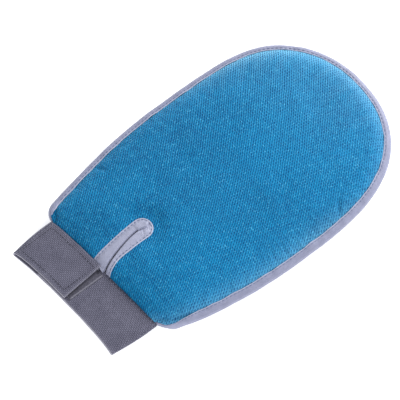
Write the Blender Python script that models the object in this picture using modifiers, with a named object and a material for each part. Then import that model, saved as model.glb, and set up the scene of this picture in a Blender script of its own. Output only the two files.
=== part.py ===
"""Grooming mitt: padded knit back with a bound wrist slit, nubbed rubber palm, taped edge, and an elastic
cuff that closes with a hook-and-loop tab.

Metres, +Z up, +Y towards the fingertips, +X to the right seen from above. The mitt lies palm down on its nubs,
which touch z = 0, and x = 0 is its middle.
"""

import math

import bmesh
import bpy

MM = 0.001
GAP = 0.3 * MM  # clearance between neighbouring pieces
CUT_HEIGHT = 40 * MM  # height of the upright cutters, taller than the mitt
CUT_STEP = 1 * MM  # how far a cutter's ends run past the piece or the cutter before it
MERGE = 0.001 * MM  # points closer than this are one

# Outline of the mitt, seen from above
HALF_WIDTH = 79.5 * MM
WIDEST_Y = 8 * MM
TIP_REACH = 129.5 * MM  # from the widest line to the fingertip
TIP_POWER = 3.2
WIDTH_POWER = 2.2
SIDE_TAPER = 9.3 * MM  # how much each side has drawn in SIDE_RUN below the widest line
SIDE_RUN = 80 * MM
SIDE_POWER = 1.9
CORNER_Y = -88.5 * MM  # where the side turns in to the cuff
CORNER_RADIUS = 12.5 * MM
CORNER_END = math.radians(78)
BORDER_Y = -98 * MM  # cuff end of the padded layers
BORDER_HALF = 53 * MM
FAN_Y = 58 * MM  # ribs run across below this line and fan out above it

# Edge binding: a tape folded round the edge
TAPE_RADIUS = 4.4 * MM
TAPE_THICK = 0.9 * MM
TAPE_REACH = 4.9 * MM  # from the outer edge to the tape's cut edges
TAPE_STITCH_INSET = 1.2 * MM  # from the tape's cut edges to its stitches
EDGE_Z = 11 * MM
LAYER_INSET = 2.9 * MM  # outer edge of every layer, inside the tape
PILLOW_INSET = 5.3 * MM  # where the layers leave the tape and start to rise

# Each layer: (bottom, top) at the edge and at the middle
PALM_BASE = ((7.9 * MM, 8.7 * MM), (5.9 * MM, 6.9 * MM))
PALM_FOAM = ((9.0 * MM, 9.9 * MM), (7.2 * MM, 9.2 * MM))
PALM_LINING = ((10.2 * MM, 10.6 * MM), (9.5 * MM, 10.1 * MM))
BACK_LINING = ((10.9 * MM, 11.3 * MM), (18.2 * MM, 18.8 * MM))
BACK_FOAM = ((11.6 * MM, 12.7 * MM), (19.1 * MM, 22.1 * MM))
BACK_MESH = ((13.0 * MM, 14.1 * MM), (22.4 * MM, 23.9 * MM))
COLUMNS = (0.0, 0.5, 0.8, 0.93, 1.0)  # where the layers are sampled, as shares from the middle to the tape
CROWN_POWER = 3.3
BACK_FULLNESS = 0.5
PALM_FULLNESS = 0.2
CUFF_EASE = 0.25  # share of its height that the back loses at the cuff
EASE_START_Y = -70 * MM

# Wrist slit and the tape round it. The slit lies to the left of the middle line and swings back at the cuff.
SLIT_X = -6 * MM
SLIT_END_Y = -64.5 * MM
SLIT_HALF = 0.7 * MM
SLIT_CUT_HALF = 2.6 * MM  # half the cut in the layers, which the tape wraps
LIP_END_Y = -53 * MM
LIP_HALF = 8.1 * MM
LIP_THICK = 0.9 * MM
LIP_STITCH_INSET = 1.5 * MM
# Swing of a line towards +X: (y where it starts, run, swing in that run, power)
SLIT_SWING = (-80 * MM, 22 * MM, 8.4 * MM, 1.6)
LEFT_LIP_SWING = (-64 * MM, 37 * MM, 3.6 * MM, 1.3)
RIGHT_LIP_SWING = (-86 * MM, 15 * MM, 5 * MM, 1.8)

# Palm pad
PAD_INSET = 12 * MM
PAD_START_Y = -84 * MM
PAD_CORNER = 12 * MM
PAD_BOTTOM = 4 * MM
PAD_TOP = 5.6 * MM
PAD_STITCH_INSET = 2 * MM
NUB_PITCH = 12 * MM
NUB_MARGIN = 6 * MM
NUB_TIP_RADIUS = 1.7 * MM
NUB_ROOT_RADIUS = 3 * MM
NUB_OVERLAP = 0.5 * MM  # how far a nub reaches into the pad's sheet
NUB_SIDES = 6
NUB_ROWS = 12  # rows tried on each side of the middle, and columns; those inside the pad are kept
NUB_COLUMNS = 8

# Cuff: a ribbon bent into a flattened loop, open where the tab laps over
MOUTH_Y = -137.5 * MM
CUFF_END_Y = -98.6 * MM
CUFF_HALF_MOUTH = 51.8 * MM
CUFF_HALF_END = 54.6 * MM
CUFF_POWER = 2.6
CUFF_THICK = 1.2 * MM
TURN_STEP = 0.002  # small step along the loop, for its direction and for the hinge's clearance
CUFF_RISE = 4.4 * MM  # from the loop's middle to the ribbon, on the palm side and the underlap
TAB_RISE = 8.8 * MM  # the same for the tab, which lies over the underlap and both patches
UNDERLAP_X = -28 * MM
HINGE_SHARE = 0.905  # of the loop's half width, on the -X side
HINGE_CLEAR = 0.4 * MM  # cut across the ribbon at the hinge line
TAB_END_BORDER_X = -2.5 * MM
TAB_END_MOUTH_X = 0.5 * MM
PATCH_THICK = 0.9 * MM
HOOK_X = (-44.5 * MM, -3.5 * MM)
LOOP_X = (-26 * MM, 3 * MM)
PATCH_Y = (-134 * MM, -102 * MM)
PATCH_STITCH_INSET = 2 * MM

THREAD_RADIUS = 0.3 * MM
THREAD_LIFT = GAP + THREAD_RADIUS
SEAM_START = 1 * MM  # from a piece's cuff end to where its stitches begin
CUFF_SEAM_Y = -99.8 * MM
CUFF_SEAM_START_X = 1.5 * MM
CUFF_SEAM_END = 0.3  # turn left between the seam and the band's end, for the tab to fold back over

# Colour and roughness of each material
BLUE_KNIT = ((0.055, 0.30, 0.52), 0.75)
GREY_TAPE = ((0.42, 0.44, 0.53), 0.45)
DARK_ELASTIC = ((0.16, 0.155, 0.19), 0.8)
FOAM = ((0.75, 0.75, 0.72), 0.9)
LINING = ((0.20, 0.22, 0.27), 0.85)
PALM_CLOTH = ((0.22, 0.24, 0.30), 0.8)
RUBBER = ((0.10, 0.25, 0.42), 0.5)
HOOK = ((0.10, 0.10, 0.12), 0.6)
LOOP = ((0.13, 0.13, 0.16), 0.9)
THREAD = ((0.16, 0.18, 0.28), 0.7)


def clear_scene():
    for obj in list(bpy.data.objects):
        bpy.data.objects.remove(obj, do_unlink=True)


def new_collection(name):
    made = bpy.data.collections.new(name)
    bpy.context.scene.collection.children.link(made)
    return made


def set_material(obj, finish):
    (red, green, blue), roughness = finish
    made = bpy.data.materials.new(obj.name)
    made.use_nodes = True
    shader = made.node_tree.nodes["Principled BSDF"]
    shader.inputs["Base Color"].default_value = (red, green, blue, 1)
    shader.inputs["Roughness"].default_value = roughness
    shader.inputs["Metallic"].default_value = 0
    obj.data.materials.append(made)


def as_piece(name, data, finish):
    """Adds an object to the mitt, as the node of that name."""
    obj = bpy.data.objects.new(name, data)
    parts.objects.link(obj)
    set_material(obj, finish)
    return obj


def as_cutter(name, data):
    obj = bpy.data.objects.new(name, data)
    cutters.objects.link(obj)
    obj.hide_render = True
    obj.display_type = "WIRE"
    return obj


def boolean(obj, operation, other):
    change = obj.modifiers.new(operation.lower(), "BOOLEAN")
    change.operation = operation
    change.solver = "EXACT"
    change.object = other


def mirror_in_x(obj):
    change = obj.modifiers.new("mirror", "MIRROR")
    change.use_axis[0] = True
    change.merge_threshold = 10 * MERGE


def mesh_of(name, work):
    mesh = bpy.data.meshes.new(name)
    work.to_mesh(mesh)
    work.free()
    return mesh


def flat_shape(name, outline, bottom, top):
    """A mesh of a level plate with this outline."""
    curve = bpy.data.curves.new(name, "CURVE")
    curve.dimensions = "2D"
    curve.fill_mode = "BOTH"
    curve.extrude = (top - bottom) / 2
    spline = curve.splines.new("POLY")
    spline.points.add(len(outline) - 1)
    for point, (x, y) in zip(spline.points, outline):
        point.co = (x, y, 0, 1)
    spline.use_cyclic_u = True
    guide = bpy.data.objects.new(name, curve)
    bpy.context.scene.collection.objects.link(guide)
    graph = bpy.context.evaluated_depsgraph_get()
    mesh = bpy.data.meshes.new_from_object(guide.evaluated_get(graph))
    bpy.data.objects.remove(guide)
    work = bmesh.new()
    work.from_mesh(mesh)
    bmesh.ops.remove_doubles(work, verts=work.verts, dist=MERGE)
    bmesh.ops.translate(work, verts=work.verts, vec=(0, 0, (top + bottom) / 2))
    bmesh.ops.recalc_face_normals(work, faces=work.faces)
    work.to_mesh(mesh)
    work.free()
    return mesh


def thread(name, points, closed=False):
    """A sewing thread as one thin round tube along these points."""
    curve = bpy.data.curves.new(name, "CURVE")
    curve.dimensions = "3D"
    curve.bevel_depth = THREAD_RADIUS
    curve.bevel_resolution = 1
    curve.use_fill_caps = True
    spline = curve.splines.new("POLY")
    spline.points.add(len(points) - 1)
    for point, place in zip(spline.points, points):
        point.co = (*place, 1)
    spline.use_cyclic_u = closed
    return as_piece(name, curve, THREAD)


def rim_rows(corner_steps=3, side_steps=5, tip_steps=12):
    """The mitt's outer edge on the +X side, from the cuff corner to the fingertip, as (point, outward normal)."""
    rows = []
    drop = (WIDEST_Y - CORNER_Y) / SIDE_RUN
    corner_x = HALF_WIDTH - SIDE_TAPER * drop**SIDE_POWER
    slope = SIDE_TAPER * SIDE_POWER / SIDE_RUN * drop ** (SIDE_POWER - 1)
    start = math.atan(slope)
    centre_x = corner_x - CORNER_RADIUS * math.cos(start)
    centre_y = CORNER_Y + CORNER_RADIUS * math.sin(start)
    for step in range(corner_steps):
        turn = CORNER_END + (start - CORNER_END) * step / corner_steps
        normal = (math.cos(turn), -math.sin(turn))
        place = (centre_x + CORNER_RADIUS * normal[0], centre_y + CORNER_RADIUS * normal[1])
        rows.append((place, normal))
    for step in range(side_steps):
        y = CORNER_Y + (WIDEST_Y - CORNER_Y) * step / side_steps
        drop = (WIDEST_Y - y) / SIDE_RUN
        slope = SIDE_TAPER * SIDE_POWER / SIDE_RUN * drop ** (SIDE_POWER - 1)
        length = math.hypot(1, slope)
        rows.append(((HALF_WIDTH - SIDE_TAPER * drop**SIDE_POWER, y), (1 / length, -slope / length)))
    for step in range(tip_steps + 1):
        angle = math.pi / 2 * step / tip_steps
        across = max(0.0, math.cos(angle)) ** (2 / WIDTH_POWER) if step < tip_steps else 0.0
        along = math.sin(angle) ** (2 / TIP_POWER)
        normal_x = WIDTH_POWER / HALF_WIDTH * across ** (WIDTH_POWER - 1)
        normal_y = TIP_POWER / TIP_REACH * along ** (TIP_POWER - 1)
        length = math.hypot(normal_x, normal_y)
        place = (HALF_WIDTH * across, WIDEST_Y + TIP_REACH * along)
        rows.append((place, (normal_x / length, normal_y / length)))
    return rows


def inset(row, distance):
    (x, y), (normal_x, normal_y) = row
    return x - normal_x * distance, y - normal_y * distance


def both_sides(half):
    """A path from the cuff corner on the +X side, round the tip, to the other corner."""
    return half + [(-place[0], *place[1:]) for place in reversed(half[:-1])]


def ease(y):
    """Height left of the padded back at this y, falling towards the cuff."""
    share = min(1.0, max(0.0, (EASE_START_Y - y) / (EASE_START_Y - BORDER_Y)))
    return 1 - CUFF_EASE * share * share * (3 - 2 * share)


def layer_mesh(name, layer, fullness, cuff_y=BORDER_Y, grow=0.0):
    """Half of a padded layer, open at x = 0: thin and level in the tape, thick and raised in the middle.

    grow pushes its upper and lower faces outwards, and cuff_y is where it ends at the cuff.
    """
    (edge_bottom, edge_top), (middle_bottom, middle_top) = layer
    is_back = fullness == BACK_FULLNESS
    end_row = ((BORDER_HALF, cuff_y), (BORDER_HALF - (PILLOW_INSET - LAYER_INSET), cuff_y))
    pairs = [end_row] + [(inset(row, LAYER_INSET), inset(row, PILLOW_INSET)) for row in rim_rows()]
    work = bmesh.new()
    grid = []
    for edge, pillow in pairs:
        spine_y = min(pillow[1], FAN_Y)
        row = []
        for share in COLUMNS:
            x = pillow[0] * share
            y = spine_y + (pillow[1] - spine_y) * share
            height = (1 - share**CROWN_POWER) ** fullness * (ease(y) if is_back else 1)
            row.append((x, y, height))
        row.append((*edge, 0.0))
        lower = [(x, y, edge_bottom + (middle_bottom - edge_bottom) * h - grow) for x, y, h in row]
        upper = [(x, y, edge_top + (middle_top - edge_top) * h + grow) for x, y, h in row]
        grid.append(([work.verts.new(place) for place in lower], [work.verts.new(place) for place in upper]))
    last = len(COLUMNS)
    for (low, high), (next_low, next_high) in zip(grid, grid[1:]):
        for k in range(last):
            work.faces.new((high[k], high[k + 1], next_high[k + 1], next_high[k]))
            work.faces.new((low[k], next_low[k], next_low[k + 1], low[k + 1]))
        work.faces.new((high[last], low[last], next_low[last], next_high[last]))
    low, high = grid[0]
    for k in range(last):
        work.faces.new((low[k], low[k + 1], high[k + 1], high[k]))
    bmesh.ops.remove_doubles(work, verts=work.verts, dist=MERGE)
    return mesh_of(name, work)


def swung(y, swing):
    """How far a line with this swing has moved towards +X at y."""
    start, run, amount, power = swing
    return amount * (max(0.0, start - y) / run) ** power


def slit_outline(half, end_y, start_y, left=SLIT_SWING, right=SLIT_SWING, steps=8):
    """A strip along the slit with a round end, open towards the cuff, from its right edge round to its left.

    left and right are the swings of its two edges.
    """
    centre_y = end_y - half
    rows = [start_y + (centre_y - start_y) * step / steps for step in range(steps)]
    turns = [math.pi * step / steps for step in range(steps + 1)]
    right_edge = [(SLIT_X + half + swung(y, right), y) for y in rows]
    cap = [(SLIT_X + half * math.cos(turn), centre_y + half * math.sin(turn)) for turn in turns]
    left_edge = [(SLIT_X - half + swung(y, left), y) for y in reversed(rows)]
    return right_edge + cap + left_edge


def lip_outline(inwards, start_y):
    """The outer edge of the slit's tape, drawn in by this much."""
    half, end_y = LIP_HALF - inwards, LIP_END_Y - inwards
    return slit_outline(half, end_y, start_y, LEFT_LIP_SWING, RIGHT_LIP_SWING)


def make_layers():
    """The six sewn layers. The three of the back are cut for the slit."""
    outline = slit_outline(SLIT_CUT_HALF, SLIT_END_Y + SLIT_CUT_HALF, BORDER_Y - CUT_STEP)
    slit = as_cutter("slit_cut", flat_shape("slit_cut", outline, 0, CUT_HEIGHT))
    for name, layer, fullness, finish in (
        ("palm_base_fabric", PALM_BASE, PALM_FULLNESS, PALM_CLOTH),
        ("palm_foam", PALM_FOAM, PALM_FULLNESS, FOAM),
        ("palm_lining", PALM_LINING, PALM_FULLNESS, LINING),
        ("back_lining", BACK_LINING, BACK_FULLNESS, LINING),
        ("back_foam", BACK_FOAM, BACK_FULLNESS, FOAM),
        ("back_mesh_panel", BACK_MESH, BACK_FULLNESS, BLUE_KNIT),
    ):
        piece = as_piece(name, layer_mesh(name, layer, fullness), finish)
        mirror_in_x(piece)
        if fullness == BACK_FULLNESS:
            boolean(piece, "DIFFERENCE", slit)


def tape_section():
    """The folded tape's section, as (distance in from the outer edge, height over the edge's middle)."""
    inner = TAPE_RADIUS - TAPE_THICK
    outer_turns = [math.pi / 2 + math.pi * step / 8 for step in range(9)]
    inner_turns = [math.pi * 3 / 2 - math.pi * step / 6 for step in range(7)]
    outer_arc = [(TAPE_RADIUS * (1 + math.cos(turn)), TAPE_RADIUS * math.sin(turn)) for turn in outer_turns]
    inner_arc = [(TAPE_RADIUS + inner * math.cos(turn), inner * math.sin(turn)) for turn in inner_turns]
    top = [(TAPE_REACH, TAPE_RADIUS)]
    foot = [(TAPE_REACH, -TAPE_RADIUS), (TAPE_REACH, -inner)]
    return top + outer_arc + foot + inner_arc + [(TAPE_REACH, inner)]


def make_edge_binding():
    work = bmesh.new()
    rings = []
    for row in rim_rows():
        places = [(*inset(row, reach), EDGE_Z + height) for reach, height in tape_section()]
        rings.append([work.verts.new(place) for place in places])
    count = len(rings[0])
    for ring, following in zip(rings, rings[1:]):
        for k in range(count):
            n = (k + 1) % count
            work.faces.new((ring[k], ring[n], following[n], following[k]))
    work.faces.new(reversed(rings[0]))
    piece = as_piece("edge_binding", mesh_of("edge_binding", work), GREY_TAPE)
    mirror_in_x(piece)
    stitch_inset = TAPE_REACH - TAPE_STITCH_INSET
    for name, side in (("edge_needle_thread", 1), ("edge_bobbin_thread", -1)):
        height = EDGE_Z + side * (TAPE_RADIUS + THREAD_LIFT)
        half = [(*inset(row, stitch_inset), height) for row in rim_rows()]
        thread(name, both_sides(half))


def make_slit_binding():
    """A tape that wraps the slit's raw edges: an upper and a lower flap joined by a wall along the slit."""
    whole = (BACK_LINING[0][0], BACK_MESH[0][1]), (BACK_LINING[1][0], BACK_MESH[1][1])
    core = as_cutter(
        "slit_tape_core", layer_mesh("slit_tape_core", whole, BACK_FULLNESS, BORDER_Y - CUT_STEP, GAP)
    )
    mirror_in_x(core)
    wall_half = SLIT_CUT_HALF - GAP
    wall_outline = slit_outline(wall_half, SLIT_END_Y + wall_half, BORDER_Y - 2 * CUT_STEP)
    wall = as_cutter("slit_tape_wall", flat_shape("slit_tape_wall", wall_outline, 0, CUT_HEIGHT))
    boolean(core, "DIFFERENCE", wall)
    lip_edge = lip_outline(0, BORDER_Y - 3 * CUT_STEP)
    lips = as_cutter("slit_tape_lips", flat_shape("slit_tape_lips", lip_edge, CUT_STEP, CUT_HEIGHT - CUT_STEP))
    gap_outline = slit_outline(SLIT_HALF, SLIT_END_Y, BORDER_Y - 4 * CUT_STEP)
    opening = as_cutter(
        "slit_opening", flat_shape("slit_opening", gap_outline, -CUT_STEP, CUT_HEIGHT + CUT_STEP)
    )
    mesh = layer_mesh("slit_binding", whole, BACK_FULLNESS, BORDER_Y, GAP + LIP_THICK)
    piece = as_piece("slit_binding", mesh, GREY_TAPE)
    mirror_in_x(piece)
    boolean(piece, "INTERSECT", lips)
    boolean(piece, "DIFFERENCE", core)
    boolean(piece, "DIFFERENCE", opening)

    lift = GAP + LIP_THICK + THREAD_LIFT
    rise = BACK_MESH[1][1] - BACK_MESH[0][1]
    seam = lip_outline(LIP_STITCH_INSET, BORDER_Y + SEAM_START)
    thread("slit_thread", [(x, y, BACK_MESH[0][1] + rise * ease(y) + lift) for x, y in seam])


def pad_outline():
    """The palm pad: the mitt's outline drawn in, cut straight across at the wrist with round corners."""
    half = [inset(row, PAD_INSET) for row in rim_rows()]
    half = [place for place in half if place[1] > PAD_START_Y + PAD_CORNER]
    corner_x = half[0][0] - PAD_CORNER
    turns = [math.pi / 2 * (1 - step / 4) for step in range(5)]
    corner = [
        (corner_x + PAD_CORNER * math.cos(turn), PAD_START_Y + PAD_CORNER * (1 - math.sin(turn)))
        for turn in turns
    ]
    return both_sides(corner + half)


def inside(outline, x, y, margin):
    """Whether a point lies in the outline, at least this margin from its edge."""
    crossings = 0
    for (ax, ay), (bx, by) in zip(outline, outline[1:] + outline[:1]):
        along_x, along_y = bx - ax, by - ay
        square = along_x**2 + along_y**2
        share = min(1.0, max(0.0, ((x - ax) * along_x + (y - ay) * along_y) / square))
        if math.hypot(x - ax - share * along_x, y - ay - share * along_y) < margin:
            return False
        if (ay > y) != (by > y) and x < ax + along_x * (y - ay) / along_y:
            crossings += 1
    return crossings % 2 == 1


def nub_places():
    """Nub centres, in staggered rows about the middle line."""
    outline = pad_outline()
    step_y = NUB_PITCH * math.sqrt(3) / 2
    places = []
    for row in range(-NUB_ROWS, NUB_ROWS + 1):
        for column in range(-NUB_COLUMNS, NUB_COLUMNS + 1):
            x = (column + (row % 2) / 2) * NUB_PITCH
            y = row * step_y
            if inside(outline, x, y, NUB_MARGIN):
                places.append((x, y))
    return places


def make_nub_pad():
    sheet = as_piece("palm_nub_pad", flat_shape("palm_nub_pad", pad_outline(), PAD_BOTTOM, PAD_TOP), RUBBER)
    height = PAD_BOTTOM + NUB_OVERLAP
    work = bmesh.new()
    for x, y in nub_places():
        made = bmesh.ops.create_cone(
            work,
            cap_ends=True,
            segments=NUB_SIDES,
            radius1=NUB_TIP_RADIUS,
            radius2=NUB_ROOT_RADIUS,
            depth=height,
        )
        bmesh.ops.translate(work, verts=made["verts"], vec=(x, y, height / 2))
    nubs = as_cutter("nubs", mesh_of("nubs", work))
    boolean(sheet, "UNION", nubs)
    edge = [inset(row, PAD_INSET + PAD_STITCH_INSET) for row in rim_rows()]
    half = [place for place in edge if place[1] > PAD_START_Y + PAD_CORNER]
    half.insert(0, (half[0][0] - PAD_CORNER / 2, PAD_START_Y + PAD_STITCH_INSET))
    z = PAD_BOTTOM - THREAD_LIFT
    thread("nub_pad_thread", [(x, y, z) for x, y in both_sides(half)], closed=True)


def cuff_half(y):
    """Half of the loop's width to the ribbon's middle, narrower at the mouth."""
    share = (y - MOUTH_Y) / (CUFF_END_Y - MOUTH_Y)
    return CUFF_HALF_MOUTH + (CUFF_HALF_END - CUFF_HALF_MOUTH) * share


def loop_point(turn, y, offset):
    """A point of the cuff at this turn, offset outwards from the ribbon's middle.

    The ribbon is a flattened spiral. It starts on top at the underlap, passes the +X fold at turn 0, the palm
    side and the -X fold at -pi, and from there laps over its start as the tab.
    """

    def place(angle):
        cosine, sine = math.cos(angle), math.sin(angle)
        rise = TAB_RISE if sine > 0 and angle < -math.pi else CUFF_RISE
        return (
            cuff_half(y) * math.copysign(abs(cosine) ** (2 / CUFF_POWER), cosine),
            EDGE_Z + rise * math.copysign(abs(sine) ** (2 / CUFF_POWER), sine),
        )

    x, z = place(turn)
    before, after = place(turn - TURN_STEP), place(turn + TURN_STEP)
    along_x, along_z = after[0] - before[0], after[1] - before[1]
    length = math.hypot(along_x, along_z)
    return x + offset * along_z / length, y, z - offset * along_x / length


def underlap_turn(x, y):
    """The turn at which the underlap's level of the spiral crosses this x."""
    share = x / cuff_half(y)
    return math.acos(math.copysign(abs(share) ** (CUFF_POWER / 2), share))


def tab_turn(x, y):
    """The same for the tab's level, a full turn further on."""
    return underlap_turn(x, y) - 2 * math.pi


def even_turns(first, last, steps):
    return [first + (last - first) * step / steps for step in range(steps + 1)]


def ribbon(name, finish, spans, offset, thick, steps):
    """A band of cloth along the loop between two lines of Y; spans are (y, first turn, last turn)."""
    work = bmesh.new()
    rings = []
    for y, first, last in spans:
        turns = even_turns(first, last, steps)
        outer = [loop_point(turn, y, offset + thick / 2) for turn in turns]
        inner = [loop_point(turn, y, offset - thick / 2) for turn in turns]
        rings.append([work.verts.new(place) for place in outer + inner[::-1]])
    near, far = rings
    for k in range(len(near)):
        n = (k + 1) % len(near)
        work.faces.new((near[k], near[n], far[n], far[k]))
    work.faces.new(near)
    work.faces.new(far)
    bmesh.ops.recalc_face_normals(work, faces=work.faces)
    return as_piece(name, mesh_of(name, work), finish)


def rectangle_thread(name, spans, offset, steps=6):
    """A closed row of stitches round a patch, through the ribbon at its two lines of Y."""
    (near_y, near_first, near_last), (far_y, far_first, far_last) = spans
    path = [loop_point(turn, near_y, offset) for turn in even_turns(near_first, near_last, steps)]
    path += [loop_point(turn, far_y, offset) for turn in even_turns(far_last, far_first, steps)]
    thread(name, path, closed=True)


def make_cuff():
    """The elastic band, its tab, the hook and loop patches between them, and their threads.

    The tab's hinge line lies on the ribbon's outer face, so that the tab can fold flat back over the band.
    """
    hinge_turn = -math.pi - math.acos(HINGE_SHARE ** (CUFF_POWER / 2))
    hinge = loop_point(hinge_turn, MOUTH_Y, 0)
    band_end = hinge_turn
    while math.dist(loop_point(band_end, MOUTH_Y, 0), hinge) < HINGE_CLEAR:
        band_end += TURN_STEP
    edges = (MOUTH_Y, CUFF_END_Y)
    band = [(y, underlap_turn(UNDERLAP_X, y), band_end) for y in edges]
    ribbon("cuff_band", DARK_ELASTIC, band, 0, CUFF_THICK, 44)
    tab = [(y, hinge_turn, tab_turn(x, y)) for y, x in zip(edges, (TAB_END_MOUTH_X, TAB_END_BORDER_X))]
    ribbon("closure_tab", DARK_ELASTIC, tab, 0, CUFF_THICK, 12)

    patch_lift = CUFF_THICK / 2 + GAP + PATCH_THICK / 2
    hook = [(y, tab_turn(HOOK_X[0], y), tab_turn(HOOK_X[1], y)) for y in PATCH_Y]
    ribbon("hook_patch", HOOK, hook, -patch_lift, PATCH_THICK, 10)
    loop = [(y, underlap_turn(LOOP_X[0], y), underlap_turn(LOOP_X[1], y)) for y in PATCH_Y]
    ribbon("loop_patch", LOOP, loop, patch_lift, PATCH_THICK, 6)

    lift = CUFF_THICK / 2 + THREAD_LIFT
    seams = (PATCH_Y[0] + PATCH_STITCH_INSET, PATCH_Y[1] - PATCH_STITCH_INSET)
    for name, (left, right), turn_of, offset in (
        ("hook_patch_thread", HOOK_X, tab_turn, lift),
        ("loop_patch_thread", LOOP_X, underlap_turn, -lift),
    ):
        left, right = left + PATCH_STITCH_INSET, right - PATCH_STITCH_INSET
        rectangle_thread(name, [(y, turn_of(left, y), turn_of(right, y)) for y in seams], offset)

    seam = even_turns(underlap_turn(CUFF_SEAM_START_X, CUFF_SEAM_Y), band_end + CUFF_SEAM_END, 40)
    thread("cuff_seam_thread", [loop_point(turn, CUFF_SEAM_Y, lift) for turn in seam])


clear_scene()
parts = new_collection("grooming_mitt")
cutters = new_collection("cutters")
make_layers()
make_edge_binding()
make_slit_binding()
make_nub_pad()
make_cuff()
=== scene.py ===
"""Looks of the grooming mitt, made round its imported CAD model.

Metres, in the CAD's frame: the mitt lies palm down, with +Y towards the fingertips and +X to the right
seen from above.
"""

import math

import bmesh
import bpy
import numpy as np
from mathutils import Matrix, Vector


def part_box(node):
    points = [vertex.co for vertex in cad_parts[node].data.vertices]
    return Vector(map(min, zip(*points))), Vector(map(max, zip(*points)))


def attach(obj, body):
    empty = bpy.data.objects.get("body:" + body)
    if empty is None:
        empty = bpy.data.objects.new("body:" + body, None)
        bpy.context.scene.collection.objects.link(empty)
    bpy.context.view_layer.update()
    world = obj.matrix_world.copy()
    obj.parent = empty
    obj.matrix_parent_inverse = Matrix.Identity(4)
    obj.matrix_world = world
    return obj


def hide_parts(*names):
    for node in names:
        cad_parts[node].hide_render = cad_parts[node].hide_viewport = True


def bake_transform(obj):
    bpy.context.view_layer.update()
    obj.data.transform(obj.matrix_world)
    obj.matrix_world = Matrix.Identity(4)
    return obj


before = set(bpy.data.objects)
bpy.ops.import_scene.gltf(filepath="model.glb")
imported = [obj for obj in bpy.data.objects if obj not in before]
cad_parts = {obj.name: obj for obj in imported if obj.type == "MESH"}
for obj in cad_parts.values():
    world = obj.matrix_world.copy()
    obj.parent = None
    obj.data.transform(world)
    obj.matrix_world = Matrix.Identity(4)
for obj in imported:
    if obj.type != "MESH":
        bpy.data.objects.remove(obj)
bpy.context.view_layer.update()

MM = 0.001
FULL_TURN = 2 * math.pi

# ---- Driving dimensions, read from the CAD where it has them ----
tape_low, tape_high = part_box("edge_binding")
HALF_WIDTH = tape_high.x
TIP_Y = tape_high.y
EDGE_Z = (tape_low.z + tape_high.z) / 2
TAPE_RADIUS = (tape_high.z - tape_low.z) / 2
band_low, band_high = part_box("cuff_band")
MOUTH_Y = band_low.y
CUFF_END_Y = band_high.y
CUFF_HALF_END = band_high.x - 0.6 * MM
CUFF_HALF_MOUTH = CUFF_HALF_END - 2.8 * MM

# Outline of the mitt
WIDEST_Y = 8 * MM
TIP_POWER = 3.2
WIDTH_POWER = 2.2
SIDE_TAPER = 9.3 * MM
SIDE_RUN = 80 * MM
SIDE_POWER = 1.9
CORNER_Y = -88.5 * MM
CORNER_RADIUS = 12.5 * MM
CORNER_END = math.radians(78)
BORDER_Y = -98 * MM
BORDER_HALF = 53 * MM
FAN_Y = 58 * MM

# Edge binding
TAPE_THICK = 0.9 * MM
TAPE_REACH = 4.9 * MM
STITCH_REACH = 4.0 * MM
BARE_STEPS = 27  # steps of the rim without stitches at each end, under the cuff
LAYER_INSET = 2.9 * MM
PILLOW_INSET = 5.3 * MM

# Each layer: (bottom, top) at the edge and at the middle
PALM_BASE = ((7.9 * MM, 8.7 * MM), (5.9 * MM, 6.9 * MM))
PALM_FOAM = ((9.0 * MM, 9.9 * MM), (7.2 * MM, 9.2 * MM))
PALM_LINING = ((10.2 * MM, 10.6 * MM), (9.5 * MM, 10.1 * MM))
BACK_LINING = ((10.9 * MM, 11.3 * MM), (18.2 * MM, 18.8 * MM))
BACK_FOAM = ((11.6 * MM, 12.7 * MM), (19.1 * MM, 22.1 * MM))
BACK_MESH = ((13.0 * MM, 14.1 * MM), (22.4 * MM, 23.9 * MM))
CROWN_POWER = 3.3
BACK_FULLNESS = 0.5
PALM_FULLNESS = 0.2
CUFF_EASE = 0.25
EASE_START_Y = -70 * MM
ROLL_RUN = 9 * MM  # length over which the back rolls down to the cuff's seam
ROLL_LEFT = (0.12, 0.54)  # share of its height that is left there: beside the closure tab and under it
TUCK = 1.5 * MM  # how far the outer cloths reach in under the cuff
BACK_TUCK = (-0.9 * MM, 12.9 * MM)  # how far they rise there, and the height that they turn in to
PALM_TUCK = (1.5 * MM, 8.6 * MM)
HIDDEN_INSET = 1.8 * MM  # how far short of the cuff the hidden layers stop
HIDDEN_SHARE = 0.97  # and the share of their width that is left there
# Where along the rim, from each cuff corner, the tape widens to its full reach and rises to its full height
NARROWING = {1: (2 * MM, 34 * MM), -1: (-2 * MM, 10 * MM)}
FLATTENING = {1: (1 * MM, 11 * MM), -1: (-1 * MM, 6 * MM)}
NARROWEST = 0.16  # share of its reach that is left at its ends
FLATTEST = 0.40  # and of its height

# Creases at the rim: (start, direction, length, depth)
CREASES = (
    ((69.5 * MM, 56.5 * MM), (-0.777, 0.629), 8 * MM, 1.9 * MM),
    ((-66 * MM, -54 * MM), (0.963, 0.270), 7 * MM, 1.4 * MM),
    ((-66 * MM, -74 * MM), (0.980, 0.199), 6 * MM, 1.2 * MM),
)

# Wrist slit: lines that swing towards +X, as (y where it starts, run, swing in that run, power)
SLIT_X = -6.6 * MM
LIP_X = -6 * MM
SLIT_END_Y = -64.5 * MM
LIP_END_Y = -53 * MM
LIP_HALF = 8.1 * MM
LIP_SINK = 0.35 * MM  # how deep the tape's edge lies in the panel
SLIT_SWING = (-66 * MM, 32 * MM, 7.6 * MM, 1.5)
LEFT_LIP_SWING = (-64 * MM, 37 * MM, 3.6 * MM, 1.3)
RIGHT_LIP_SWING = (-84 * MM, 17 * MM, 5.6 * MM, 1.7)

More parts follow.
